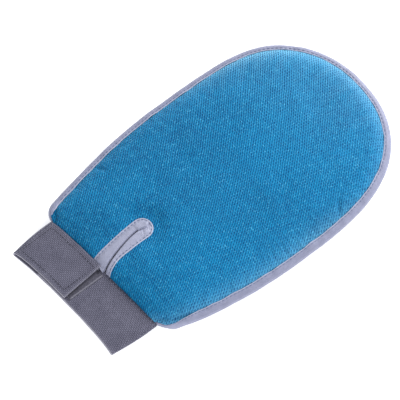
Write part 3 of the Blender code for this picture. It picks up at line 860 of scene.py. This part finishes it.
def turned_under(grid, rise, end_z):
    """The grid with its border turned in under the cuff: a little past it, then to this height."""
    hem = grid[:1] + np.array([0.0, -TUCK * 0.7, rise])
    last = hem + np.array([0.0, -TUCK * 0.3, 0.0])
    last[..., 2] = end_z
    return np.concatenate([last, hem, grid])


def blown_up(points, faces, pins):
    """Where a sheet's points go when it swells under pressure as cloth that is sewn down at the pins."""
    rounded = np.round(points / (0.01 * MM)).astype(int)
    _, kept, back = np.unique(rounded, axis=0, return_index=True, return_inverse=True)
    back = back.ravel()
    mesh = bpy.data.meshes.new("swelling")
    quads = [list(dict.fromkeys(face)) for face in back[faces].tolist()]
    mesh.from_pydata(points[kept].tolist(), [], [quad for quad in quads if len(quad) > 2])
    sheet = link(bpy.data.objects.new("swelling", mesh))
    group = sheet.vertex_groups.new(name="sewn")
    sewn = np.zeros(len(kept), bool)
    np.logical_or.at(sewn, back, pins)
    group.add(np.nonzero(sewn)[0].tolist(), 1.0, "REPLACE")
    modifier = sheet.modifiers.new("cloth", "CLOTH")
    for setting, value in SWELL.items():
        setattr(modifier.settings, setting, value)
    modifier.settings.effector_weights.gravity = 0
    modifier.collision_settings.use_collision = False
    scene = bpy.context.scene
    modifier.point_cache.frame_start, modifier.point_cache.frame_end = 1, SIM_FRAMES
    for step in range(1, SIM_FRAMES + 1):
        scene.frame_set(step)
    graph = bpy.context.evaluated_depsgraph_get()
    swollen = np.array([vert.co for vert in sheet.evaluated_get(graph).data.vertices])
    bpy.data.objects.remove(sheet)
    scene.frame_set(1)
    return swollen[back]


def simulated_lifts(layer):
    """Each half's lift when the back panel swells, sewn down at the tape, the slit and the cuff.
    """
    fine = [half_grid(side, CELL, SLIT_HALF) for side in (1, -1)]
    (_, edge_top), (_, middle_top) = layer
    coarse, points, faces, pins, first = [], [], [], [], 0
    for x, y in fine:
        rows, columns = (np.unique(np.append(np.arange(0, size, SIM_STRIDE), size - 1)) for size in x.shape)
        cx, cy = x[np.ix_(rows, columns)], y[np.ix_(rows, columns)]
        cz = edge_top + (middle_top - edge_top) * SIM_START * back_height(cx, cy)
        pinned = np.zeros(cx.shape, bool)
        pinned[0], pinned[:, -1] = True, True
        pinned[:, 0] |= cy[:, 0] < SLIT_END_Y + 2 * MM
        coarse.append((rows, columns, cz))
        points.append(np.stack([cx, cy, cz], -1).reshape(-1, 3))
        pins.append(pinned.ravel())
        order = grid_faces(*cx.shape, first)
        faces.append(order if len(coarse) == 1 else order[:, ::-1])
        first += cx.size
    moved = blown_up(np.concatenate(points), np.concatenate(faces), np.concatenate(pins))[:, 2]
    lifts, first = [], 0
    for (rows, columns, start_z), (x, y) in zip(coarse, fine):
        lift = moved[first:first + start_z.size].reshape(start_z.shape) - start_z
        first += start_z.size
        lift = np.clip(lift, -SIM_SINK, SIM_CAP)
        wide = np.array([np.interp(np.arange(x.shape[1]), columns, row) for row in lift])
        lifts.append(np.array([np.interp(np.arange(x.shape[0]), rows, column) for column in wide.T]).T)
    middle = lifts[1].shape[1] - 1
    joined = soften(np.hstack([lifts[1][:, ::-1], lifts[0][:, 1:]]))
    return [lift * smooth(lip_distance(x, y) / SOFTEN_RUN)
            for lift, (x, y) in zip((joined[:, middle:], joined[:, middle::-1]), fine)]


def soften(values):
    """Averages each value with its neighbours along both ways, over and over."""
    for _ in range(SOFTEN_ROUNDS):
        padded = np.pad(values, 1, mode="edge")
        beside = padded[:-2, 1:-1] + padded[2:, 1:-1] + padded[1:-1, :-2] + padded[1:-1, 2:]
        values = (beside + 2 * values) / 6
    return values


def rim_place(x, y):
    """How far a point lies in from the tape, and how far on round the mitt, both roughly in metres."""
    return (1 - crown_share(x, y)) * HALF_RUN, np.arctan2(y - 10 * MM, x) * 90 * MM


def panel_details(x, y):
    """Small puckers and creases of the sewn panel, as a lift."""
    from_edge, around = rim_place(x, y)
    from_border = y - BORDER_Y
    from_lip = lip_distance(x, y)
    off_cuff = smooth(from_border / (25 * MM))
    # the swell inside the tape, then its fine and coarse puckers, which are deeper on the +X side of the tip
    lift = 1.5 * MM * smooth(from_edge / (9 * MM)) * off_cuff
    lift += 0.30 * MM * wave(around, 11 * MM, 0.4) * hump(from_edge - 3 * MM, 4 * MM)
    drawn = smooth((x - 10 * MM) / (40 * MM)) * smooth((y + 30 * MM) / (30 * MM))
    lift += 0.40 * MM * wave(around, 6.3 * MM, 0.9) * hump(from_edge - 7 * MM, 6 * MM) * (0.25 + 0.75 * drawn)
    # the broad unevenness of the padding, and the gathers at the cuff
    lift += 0.45 * MM * wave(x * 0.8 + y * 0.5, 46 * MM, 1.0) * wave(y - 0.4 * x, 61 * MM, 2.0)
    lift += 0.55 * MM * wave(x, 4.2 * MM, 0.3) * hump(from_border - 2.5 * MM, 4.5 * MM)
    # the panel drawn down beside the slit's tape and under it, with a low ridge along the tape's edge
    lift -= 1.5 * MM * (1 - smooth(from_lip / (12 * MM))) * off_cuff
    lift -= 1.3 * MM * smooth(-from_lip / (1.6 * MM))
    lift += 0.35 * MM * hump(from_lip - 2.2 * MM, 1.8 * MM) * (1 + 0.5 * wave(y + x, 6 * MM, 1.7))
    for (at_x, at_y), (along_x, along_y), length, depth in CREASES:
        ahead = (x - at_x) * along_x + (y - at_y) * along_y
        beside = (y - at_y) * along_x - (x - at_x) * along_y
        lift -= depth * hump(beside, 1.4 * MM) * hump(ahead - length / 2, length * 0.6)
    return lift * np.clip(from_edge / (1.2 * MM), 0, 1)


def panel_top(x, y):
    """Height of the panel's upper face, without the swelling."""
    (_, edge_top), (_, middle_top) = BACK_MESH
    return edge_top + (middle_top - edge_top) * back_height(x, y)


def mark_painted_sheen(panel):
    """Marks where a painted sheen highlight lightens the knit: towards the fingertips, most along the rim
    there, and along the rim on the +X side.
    """
    spots = np.array([vert.co for vert in panel.data.vertices])
    x, y = spots[:, 0], spots[:, 1]
    from_edge, around = rim_place(x, y)
    reach = (7 + 2.5 * wave(around, 13 * MM, 0.5)) * MM
    tipward = smooth((y + 20 * MM) / (110 * MM))
    thumbward = smooth((75 * MM - x) / (95 * MM))
    # painted sheen highlight, strongest within a few millimetres of the rim
    painted_sheen = tipward * thumbward * (0.42 * np.exp(-from_edge / reach) + 0.07 * smooth((y - 20 * MM) / (90 * MM)))
    painted_sheen += 0.15 * tipward * np.exp(-from_edge / (2.6 * MM))
    rightward = smooth((x - 15 * MM) / (35 * MM)) * smooth((90 * MM - y) / (60 * MM))
    painted_sheen += 0.34 * rightward * np.exp(-from_edge / (4.5 * MM))
    layer = panel.data.attributes.new("painted_sheen", "FLOAT", "POINT")
    layer.data.foreach_set("value", painted_sheen.astype(np.float32))


def make_layers():
    swelling = simulated_lifts(BACK_MESH)
    lifts = [lift + panel_details(*half_grid(side, CELL, SLIT_HALF)) for side, lift in zip((1, -1), swelling)]
    slabs = layer_slabs(BACK_MESH, back_height, CELL, SLIT_HALF, lifts, BACK_TUCK)
    panel = add_slabs("back_panel", slabs, KNIT)
    weld(panel, HALVES_APART, halves=True)
    mark_painted_sheen(panel)
    place(panel, "mitt", "blue_mesh", "back_mesh_panel")
    for name, layer, height_of, slit_half, material, slot, node in (
        ("back_padding", BACK_FOAM, back_height, SLIT_HALF, FOAM, "foam", "back_foam"),
        ("back_inner_lining", BACK_LINING, back_height, SLIT_HALF, LINING, "lining", "back_lining"),
        ("palm_inner_lining", PALM_LINING, palm_height, 0.0, LINING, "lining", "palm_lining"),
        ("palm_padding", PALM_FOAM, palm_height, 0.0, FOAM, "foam", "palm_foam"),
        ("palm_cloth", PALM_BASE, palm_height, 0.0, PALM_CLOTH, "palm_cloth", "palm_base_fabric"),
    ):
        tuck = PALM_TUCK if node == "palm_base_fabric" else None
        piece = add_slabs(name, layer_slabs(layer, height_of, HIDDEN_CELL, slit_half, tuck=tuck), material)
        weld(piece, HALVES_APART, halves=True)
        place(piece, "mitt", slot, node)


# ---- Edge binding ----
def rim_with_ends(spacing):
    """The rim, with its ends bent in under the cuff."""
    start = RIM_HALF[0]
    heading = np.array([-math.sin(CORNER_END), -math.cos(CORNER_END)])
    middle = start + heading * 4.5 * MM
    finish = np.array([CUFF_HALF_END - 5.2 * MM, CUFF_END_Y - 4 * MM])
    share = np.linspace(1, 0, 14, endpoint=False)[:, None]
    tuck = start * (1 - share) ** 2 + middle * 2 * share * (1 - share) + finish * share**2
    return resample(whole(np.vstack([tuck, RIM_HALF])), spacing)


def tape_section():
    """The folded tape's outer and inner faces, as (distance in from the edge, height over its middle)."""
    inner = TAPE_RADIUS - TAPE_THICK
    turn = np.linspace(math.pi / 2, math.pi * 3 / 2, 30)
    outer = np.stack([TAPE_RADIUS * (1 + np.cos(turn)), TAPE_RADIUS * np.sin(turn)], 1)
    back = np.linspace(math.pi * 3 / 2, math.pi / 2, 16)
    lining = np.stack([TAPE_RADIUS + inner * np.cos(back), inner * np.sin(back)], 1)
    fold = TAPE_THICK / 2
    nose = np.linspace(math.pi / 2, -math.pi / 2, 5)[1:-1]
    upper = np.stack([TAPE_REACH + fold * np.cos(nose), TAPE_RADIUS - fold + fold * np.sin(nose)], 1)
    lower = upper[::-1] * (1, -1)
    rim = np.array([[TAPE_REACH, TAPE_RADIUS]])
    rim_inner = np.array([[TAPE_REACH, inner]])
    return np.vstack([rim, outer, rim * (1, -1), lower, rim_inner * (1, -1), lining, rim_inner, upper[::-1]])


def make_edge_binding():
    path = rim_with_ends(0.9 * MM)
    out = outward(path)
    along = lengths_along(path)
    from_end = np.minimum(along, along[-1] - along)
    from_corner = from_end - (along[-1] / 2 - lengths_along(RIM_HALF)[-1])
    on_right = along < along[-1] / 2
    full = np.where(on_right, *(share_from_corner(from_corner, side, FLATTENING) for side in (1, -1)))
    narrowed = np.where(on_right, *(tape_reach_share(from_corner, side) for side in (1, -1)))
    squeeze = FLATTEST + (1 - FLATTEST) * full
    section = tape_section()
    reach, height = section[:, 0], section[:, 1]
    stitched = hump(reach - STITCH_REACH, 0.55 * MM) * np.sign(height)
    dent = (0.20 + 0.12 * np.cos(FULL_TURN * along / (3.2 * MM)))[:, None] * MM * stitched
    swell = 1 + 0.03 * wave(along, 17 * MM)[:, None]
    heights = height * swell * squeeze[:, None] - dent * squeeze[:, None]
    sway = (0.28 * MM * wave(along, 34 * MM, 1.3) * smooth((from_end - 4 * MM) / (10 * MM)))[:, None]
    creep = (0.22 * MM * wave(along, 23 * MM, 0.6))[:, None] * smooth((reach - 2.5 * MM) / (2.4 * MM))
    inwards = (reach[None] + creep) * narrowed[:, None]
    points = np.empty((len(path), len(section), 3))
    points[..., 0] = path[:, :1] - out[:, :1] * inwards
    points[..., 1] = path[:, 1:] - out[:, 1:] * inwards
    points[..., 2] = EDGE_Z + heights + sway
    points[..., 2] -= 0.2 * MM * (1 - full)[:, None]
    # painted highlight along the inner fold of the tape's upper face
    tint = 0.6 * hump(reach - TAPE_REACH - 0.2 * MM, 0.35 * MM) * (height > 0)
    faces = tube_faces(*points.shape[:2])
    tape = add_mesh("edge_tape", points, faces, TAPE, edge_tint=np.broadcast_to(tint, points.shape[:2]))
    weld(tape)
    place(tape, "mitt", "binding_tape", "edge_binding")
    inside = slice(BARE_STEPS, -BARE_STEPS)
    for name, node, side in (("edge_needle_stitches", "edge_needle_thread", 1),
                             ("edge_bobbin_stitches", "edge_bobbin_thread", -1)):
        seam = np.empty((len(path), 3))
        seam[:, :2] = path - out * (STITCH_REACH * narrowed)[:, None]
        crest = TAPE_RADIUS * swell[:, 0] * squeeze - 0.2 * MM
        seam[:, 2] = EDGE_Z + side * crest + sway[:, 0]
        up = np.tile((0.0, 0.0, float(side)), (len(path), 1))
        made = add_stitches(name, seam[inside], up[inside], THREAD, radius=0.17 * MM)
        place(made, "mitt", "thread", node)


# ---- Slit binding ----
def lip_lines(spacing):
    """Matching plan points of the tape's outer edge and of the slit: up the left, round, down the right."""
    centre_y = LIP_END_Y - LIP_HALF
    start_y = CUFF_END_Y - 1.5 * MM
    y = np.arange(start_y, centre_y, spacing)
    turn = np.linspace(math.pi, 0, round(math.pi * LIP_HALF / spacing) + 1)
    slow = -72 * MM
    share = np.clip((y - slow) / (centre_y - slow), 0, 1)
    slit_y = np.where(y < slow, y, slow + (SLIT_END_Y - slow) * share * (2 - share))
    end_gap = 0.24 * MM
    gap = end_gap + 0.26 * MM * smooth((slow - slit_y) / (26 * MM))
    outer, inner = [], []
    for side, swing in ((-1, LEFT_LIP_SWING), (1, RIGHT_LIP_SWING)):
        edge = np.stack([LIP_X + side * LIP_HALF + swung(y, swing), y], 1)
        slit = np.stack([SLIT_X + side * gap + swung(slit_y, SLIT_SWING), slit_y], 1)
        outer.append(edge if side < 0 else edge[::-1])
        inner.append(slit if side < 0 else slit[::-1])
    round_edge = np.stack([LIP_X + LIP_HALF * np.cos(turn), centre_y + LIP_HALF * np.sin(turn)], 1)
    round_slit = np.stack([SLIT_X + end_gap * np.cos(turn), SLIT_END_Y + end_gap * np.sin(turn)], 1)
    outer = np.vstack([outer[0], round_edge, outer[1]])
    inner = np.vstack([inner[0], round_slit, inner[1]])
    return outer, inner


def pleat_x(y):
    """X of the fold that the tape makes past the slit's end."""
    return LIP_X - 0.4 * MM + 1.4 * MM * hump(y + 58.3 * MM, 2.6 * MM)


def lip_lift(x, y, from_outer, from_slit, along):
    """Height of the tape's upper flap over the panel."""
    lift = 0.95 * MM * np.sqrt(1 - (1 - np.clip(from_outer / (0.55 * MM), 0, 1)) ** 2)
    lift -= 0.40 * MM * hump(from_outer - 1.5 * MM, 0.45 * MM)
    lift += 0.75 * MM * smooth((from_outer - 1.8 * MM) / (2.6 * MM))
    lift += 0.14 * MM * wave(along, 5.5 * MM, 0.9) * hump(from_outer - 2.2 * MM, 1.6 * MM)
    past_end = smooth((y - SLIT_END_Y + 1 * MM) / (2 * MM)) * smooth((LIP_END_Y - 1.0 * MM - y) / (1.5 * MM))
    beside = x - pleat_x(y)
    fold = np.where(beside < 0, np.exp(beside / (2.6 * MM)), np.exp(-beside / (0.3 * MM)))
    lift += 1.3 * MM * past_end * fold
    lift -= 0.6 * MM * past_end * hump(beside - 1.2 * MM, 1.3 * MM)
    lift -= 1.2 * MM * past_end * hump(beside - 0.4 * MM, 0.4 * MM)
    lift += 0.18 * MM * past_end * wave(y + 0.6 * x, 4.4 * MM, 2.2) * smooth(beside / MM)
    open_end = 1 - smooth((y - SLIT_END_Y + 0.5 * MM) / (1.5 * MM))
    lift -= open_end * 2.6 * MM * (1 - np.sqrt(1 - (1 - np.clip(from_slit / (1.3 * MM), 0, 1)) ** 2))
    return lift


def make_slit_binding():
    outer, inner = lip_lines(0.42 * MM)
    along = lengths_along(outer)
    width = np.linalg.norm(outer - inner, axis=1)
    columns = 50
    share = 0.5 - 0.5 * np.cos(math.pi * np.linspace(0, 1, columns))
    x = outer[:, :1] + (inner - outer)[:, :1] * share
    y = outer[:, 1:] + (inner - outer)[:, 1:] * share
    from_outer = width[:, None] * share
    from_slit = width[:, None] * (1 - share)
    lift = lip_lift(x, y, from_outer, from_slit, along[:, None])
    top = np.stack([x, y, panel_top(x, y) + lift - LIP_SINK], -1)
    depths = np.array([1.2, 2.6, 4.0, 5.2, 6.0]) * MM
    wall = np.repeat(top[:, -1:], len(depths), 1)
    wall[..., 2] -= depths
    away = (outer - inner) / width[:, None]
    wall[..., :2] += away[:, None] * (0.25 * MM)
    flap_columns = np.linspace(0.1, 0.85, 6)
    flap = np.empty((len(outer), len(flap_columns), 3))
    flap[..., 0] = inner[:, :1] + (outer - inner)[:, :1] * flap_columns
    flap[..., 1] = inner[:, 1:] + (outer - inner)[:, 1:] * flap_columns
    (lining_edge, _), (lining_middle, _) = BACK_LINING
    lining = lining_edge + (lining_middle - lining_edge) * back_height(flap[..., 0], flap[..., 1])
    flap[..., 2] = lining - 0.3 * MM
    whole_tape = np.concatenate([top, wall, flap], 1)
    normals = grid_normals(whole_tape)
    if normals[0, columns // 2, 2] < 0:
        normals = -normals
    thick = 0.55 * MM
    inner_face = whole_tape - normals * thick
    near_edge = np.concatenate([from_outer, np.full((len(outer), len(depths) + len(flap_columns)), 1.0)], 1)
    # painted highlight along the tape's outer edge, over a painted lightening of the whole slit tape that
    # makes up for the shade on its steep lips
    tint = np.maximum(0.24, 0.75 * hump(near_edge - 0.3 * MM, 0.35 * MM))
    tape = add_slabs("slit_tape", [(whole_tape, inner_face)], TAPE, edge_tint=tint)
    place(tape, "mitt", "binding_tape", "slit_binding")

    mark = 1.5 * MM
    seam_xy = outer + (inner - outer) * (mark / width)[:, None]
    lift = lip_lift(seam_xy[:, 0], seam_xy[:, 1], np.full(len(outer), mark), width - mark, along) - LIP_SINK
    seam = np.column_stack([seam_xy, panel_top(seam_xy[:, 0], seam_xy[:, 1]) + lift])
    up = np.tile((0.0, 0.0, 1.0), (len(outer), 1))
    made = add_stitches("slit_stitches", seam[3:-3], up[3:-3], THREAD, 2.0 * MM, 2.9 * MM, 0.18 * MM)
    place(made, "mitt", "thread", "slit_thread")


# ---- Cuff ----
def cuff_half(y):
    share = (y - MOUTH_Y) / (CUFF_END_Y - MOUTH_Y)
    return CUFF_HALF_MOUTH + (CUFF_HALF_END - CUFF_HALF_MOUTH) * share + CUFF_BULGE * np.sin(math.pi * share)


def loop_place(turn, y):
    """The ribbon's middle at this turn of its flattened spiral, in X and Z."""
    cosine, sine = np.cos(turn), np.sin(turn)
    rise = np.where((sine > 0) & (turn < -math.pi), TAB_RISE, CUFF_RISE)
    x = cuff_half(y) * power_of(cosine, 2 / CUFF_POWER)
    return x, EDGE_Z + rise * power_of(sine, 2 / CUFF_POWER)


def underlap_turn(x, y):
    return np.arccos(power_of(x / cuff_half(y), CUFF_POWER / 2))


def tab_turn(x, y):
    return underlap_turn(x, y) - FULL_TURN


def loop_points(turn, y, offset):
    """Points of the ribbon, offset outwards from its middle. The arrays have one shape."""
    x, z = loop_place(turn, y)
    before, after = loop_place(turn - 0.002, y), loop_place(turn + 0.002, y)
    along_x, along_z = after[0] - before[0], after[1] - before[1]
    length = np.hypot(along_x, along_z)
    return np.stack([x + offset * along_z / length, y, z - offset * along_x / length], -1)


def even_turns(first, last, y, spacing):
    """Turns at even steps along the ribbon, a column for each y. first and last are arrays over y."""
    fine = np.linspace(0, 1, 400)[:, None]
    turns = first + (last - first) * fine
    x, z = loop_place(turns, y)
    steps = np.hypot(np.diff(x, axis=0), np.diff(z, axis=0))
    along = np.vstack([np.zeros((1, len(y))), np.cumsum(steps, axis=0)])
    rows = max(2, round(along[-1].mean() / spacing)) + 1
    columns = [
        np.interp(np.linspace(0, along[-1, k], rows), along[:, k], turns[:, k]) for k in range(len(y))
    ]
    return np.stack(columns, 1), np.linspace(0, along[-1].mean(), rows)


def mouth_bow(turn):
    """How far the mouth edge bows inwards: more on the palm side than on the back."""
    return np.where(np.sin(turn) > 0, 1.9 * MM, 4.3 * MM) * np.abs(np.sin(turn)) ** 1.5


def edge_round(distance, radius):
    """Share of its thickness that a ribbon has near a rounded edge."""
    share = np.clip(distance / radius, 0, 1)
    return np.sqrt(np.maximum(1 - (1 - share) ** 2, 0.02))


def ribbon(name, material, y_from, y_to, first_of, last_of, offset, thick, spacing, columns, ribs=True,
           end_lines=(False, False), mouth_highlight=0.0):
    """A closed ribbed band along the cuff's spiral, between two lines of Y and two turns."""
    across = np.linspace(0, 1, columns)
    y = y_from + (y_to - y_from) * across
    turns, along = even_turns(first_of(y), last_of(y), y, spacing)
    bow = mouth_bow(turns) * (1 - across[None]) ** 1.2
    width = y_to - y_from
    half = thick / 2
    side_round = edge_round(across * width, 0.7 * MM) * edge_round((1 - across) * width, 0.7 * MM)
    end_round = edge_round(along, 0.7 * MM) * edge_round(along[-1] - along, 0.7 * MM)
    half = half * side_round[None] * end_round[:, None]
    relief = RIB_HEIGHT * np.cos(FULL_TURN * (y - y_from) / RIB_PITCH)[None] * ribs
    y_grid = np.broadcast_to(y, turns.shape)
    swell = 0.25 * MM * wave(along, 27 * MM, 0.7)[:, None] * ribs
    hem = 0.22 * MM * hump(across * width - 1.0 * MM, 0.7 * MM)[None] * ribs
    ends = [distance[:, None] for distance, marked in zip((along, along[-1] - along), end_lines) if marked]
    for from_end in ends:
        hem = hem + 0.30 * MM * smooth((3.6 * MM - from_end) / (0.8 * MM))
    top = loop_points(turns, y_grid, offset + half + relief + swell + hem)
    bottom = loop_points(turns, y_grid, offset - half + relief * 0.5 + swell)
    top[..., 1] += bow
    bottom[..., 1] += bow
    # painted highlight along the mouth edge, and along each marked end
    tint = mouth_highlight * hump(across * width - 0.1 * MM, 0.45 * MM)[None] * np.ones(turns.shape)
    for from_end in ends:
        tint = np.maximum(tint, 0.5 * hump(from_end - 0.3 * MM, 0.5 * MM))
    return add_slabs(name, [(top, bottom)], material, edge_tint=tint, weave_along=along[:, None] + 0 * turns,
                     weave_across=y_grid - y_from)


def spiral_path(turns, y, offset):
    """A seam along the ribbon and its outward direction."""
    turns, y = np.broadcast_arrays(turns, y)
    on = loop_points(turns, y, np.full(turns.shape, offset))
    out = loop_points(turns, y, np.full(turns.shape, offset + MM)) - on
    on[..., 1] += mouth_bow(turns) * np.clip((CUFF_END_Y - y) / (CUFF_END_Y - MOUTH_Y), 0, 1) ** 1.2
    return on, out / MM


def rectangle_seam(x_range, y_range, turn_of, offset):
    """A rectangle of stitches round a patch."""
    (left, right), (low, high) = x_range, y_range
    steps = 40
    xs, ys = np.linspace(left, right, steps), np.linspace(low, high, steps)
    legs = [
        (xs, np.full(steps, low)), (np.full(steps, right), ys),
        (xs[::-1], np.full(steps, high)), (np.full(steps, left), ys[::-1]),
    ]
    x = np.concatenate([leg[0] for leg in legs])
    y = np.concatenate([leg[1] for leg in legs])
    return spiral_path(turn_of(x, y), y, offset)


def bend_with_tab(obj, node):
    """Hides this CAD part and bakes the piece's transform into its mesh."""
    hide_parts(node)
    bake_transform(obj)


def make_cuff():
    band = ribbon(
        "cuff_elastic", ELASTIC, MOUTH_Y, CUFF_END_Y, lambda y: underlap_turn(UNDERLAP_X, y),
        lambda y: np.full(len(y), FOLD_TURN), 0.0, CUFF_THICK, 1.15 * MM, BAND_COLUMNS, mouth_highlight=0.8,
    )
    place(band, "mitt", "elastic", "cuff_band")

    def tab_end(y):
        share = (y - MOUTH_Y) / (CUFF_END_Y - MOUTH_Y)
        return tab_turn(TAB_END_MOUTH_X + (TAB_END_BORDER_X - TAB_END_MOUTH_X) * share, y)

    tab = ribbon(
        "closure_tab_elastic", ELASTIC, MOUTH_Y, CUFF_END_Y, lambda y: np.full(len(y), FOLD_TURN + 0.02),
        tab_end, 0.0, CUFF_THICK, 1.0 * MM, BAND_COLUMNS, end_lines=(False, True), mouth_highlight=0.9,
    )
    bend_with_tab(tab, "closure_tab")

    lift = CUFF_THICK / 2 + PATCH_GAP + PATCH_THICK / 2
    hook = ribbon("hook_pad", HOOK, *PATCH_Y, lambda y: tab_turn(HOOK_X[0], y),
                  lambda y: tab_turn(HOOK_X[1], y), -lift, PATCH_THICK, 0.8 * MM, PATCH_COLUMNS, ribs=False)
    place(hook, "closure_tab", "hook_tape", "hook_patch")
    loop = ribbon("loop_pad", LOOP, *PATCH_Y, lambda y: underlap_turn(LOOP_X[0], y),
                  lambda y: underlap_turn(LOOP_X[1], y), lift, PATCH_THICK, 0.6 * MM, PATCH_COLUMNS,
                  ribs=False, end_lines=(False, True))
    place(loop, "mitt", "loop_tape", "loop_patch")

    over = CUFF_THICK / 2 + 0.1 * MM
    inset = 2 * MM
    seam_y = (PATCH_Y[0] + inset / 2, PATCH_Y[1] - inset / 2)
    seam, out = rectangle_seam(TAB_SEAM_X, seam_y, tab_turn, over)
    hook_seam = add_stitches("hook_pad_stitches", seam, out, CUFF_THREAD, 1.8 * MM, 2.6 * MM, 0.22 * MM)
    bend_with_tab(hook_seam, "hook_patch_thread")
    seam, out = rectangle_seam((LOOP_X[0] + inset, LOOP_X[1] - inset / 2), seam_y, underlap_turn,
                               lift + PATCH_THICK / 2)
    loop_seam = add_stitches("loop_pad_stitches", seam, out, CUFF_THREAD, 1.8 * MM, 2.6 * MM, 0.2 * MM)
    place(loop_seam, "mitt", "cuff_thread", "loop_patch_thread")

    seam_y = CUFF_END_Y - 1.2 * MM
    turns = np.linspace(underlap_turn(1.5 * MM, seam_y), FOLD_TURN + 0.25, 400)
    seam, out = spiral_path(turns, seam_y, over)
    made = add_stitches("cuff_seam_stitches", seam, out, CUFF_THREAD, 2.2 * MM, 3.0 * MM, 0.2 * MM)
    place(made, "mitt", "cuff_thread", "cuff_seam_thread")


# ---- Palm pad ----
def pad_outline(inwards=0.0):
    """The palm pad's edge, drawn in by this much."""
    half = inset_half(PAD_INSET + inwards)
    start = PAD_START_Y + inwards
    half = half[half[:, 1] > start + PAD_CORNER]
    centre = (half[0, 0] - PAD_CORNER, start + PAD_CORNER)
    turn = np.linspace(math.pi / 2, 0, 16, endpoint=False)
    corner = np.stack([centre[0] + PAD_CORNER * np.cos(turn), centre[1] - PAD_CORNER * np.sin(turn)], 1)
    return whole(np.vstack([corner, half]))


def nub_places():
    """Nub centres, in staggered rows about the middle line."""
    limit = pad_outline(NUB_MARGIN)
    places = []
    for row in range(-12, 13):
        for column in range(-8, 9):
            spot = np.array([(column + (row % 2) / 2) * NUB_PITCH, row * NUB_PITCH * math.sqrt(3) / 2])
            if is_inside(limit, spot):
                places.append(spot)
    return places


def is_inside(outline, spot):
    ahead = np.roll(outline, -1, axis=0)
    crosses = (outline[:, 1] > spot[1]) != (ahead[:, 1] > spot[1])
    rise = np.where(crosses, ahead[:, 1] - outline[:, 1], 1.0)
    at = outline[:, 0] + (spot[1] - outline[:, 1]) * (ahead[:, 0] - outline[:, 0]) / rise
    return np.count_nonzero(crosses & (at > spot[0])) % 2 == 1


def nub_profile():
    """Radius and height of a nub's side, from its foot in the sheet to its tip."""
    foot = np.linspace(0, 1, 5)
    shoulder = np.linspace(0, math.pi / 2, 5)
    height = PAD_BOTTOM
    tip_round = 0.7 * MM
    flare = [(NUB_ROOT_RADIUS + 0.9 * MM * (1 - f) ** 2, height + 0.15 * MM - 0.9 * MM * f) for f in foot]
    tip = [(NUB_TIP_RADIUS - tip_round * (1 - math.cos(turn)) + 0.15 * MM, tip_round * (1 - math.sin(turn)))
           for turn in shoulder]
    return flare + tip


def make_nub_pad():
    outline = resample(pad_outline(), 1.6 * MM)
    shares = np.concatenate([np.linspace(0, 0.93, 24), [0.96, 0.98, 0.992, 1.0]])
    spine = np.stack([np.zeros(len(outline)), np.clip(outline[:, 1], -60 * MM, 90 * MM)], 1)
    plan = spine[:, None] + (outline - spine)[:, None] * shares[:, None]
    plan = np.concatenate([plan, plan[:1]])
    from_rim = (1 - shares) * 60 * MM
    rounding = np.sqrt(1 - (1 - np.clip(from_rim / (0.8 * MM), 0, 1)) ** 2)
    middle = (PAD_TOP + PAD_BOTTOM) / 2
    half = (PAD_TOP - PAD_BOTTOM) / 2 * (0.1 + 0.9 * rounding)
    groove = 0.25 * MM * hump(from_rim - 2 * MM, 0.8 * MM)
    heights = (middle + half, middle - half + groove)
    points = [np.dstack([plan, np.broadcast_to(z, plan.shape[:2])]).reshape(-1, 3) for z in heights]
    faces = slab_faces(*plan.shape[:2]).tolist()
    first = 2 * plan.shape[0] * plan.shape[1]
    profile = nub_profile()
    sides = 18
    turn = np.arange(sides) * FULL_TURN / sides
    for spot in nub_places():
        rings = np.array([[(spot[0] + radius * math.cos(t), spot[1] + radius * math.sin(t), z) for t in turn]
                          for radius, z in profile])
        points.append(rings.reshape(-1, 3))
        faces += tube_faces(len(profile), sides, first)
        first += len(profile) * sides
    pad = add_mesh("palm_nubs", np.concatenate(points), faces, RUBBER)
    weld(pad)
    place(pad, "mitt", "nub_rubber", "palm_nub_pad")
    seam_line = resample(pad_outline(2 * MM), 0.8 * MM)
    seam_line = np.vstack([seam_line, seam_line[:1]])
    seam = resample(np.column_stack([seam_line, np.full(len(seam_line), PAD_BOTTOM + 0.05 * MM)]), 0.8 * MM)
    down = np.tile((0.0, 0.0, -1.0), (len(seam), 1))
    made = add_stitches("nub_pad_stitches", seam, down, THREAD, 2.4 * MM, 3.4 * MM, 0.22 * MM)
    place(made, "mitt", "thread", "nub_pad_thread")


add_camera()
add_stage()
make_edge_binding()
make_layers()
make_slit_binding()
make_cuff()
make_nub_pad()
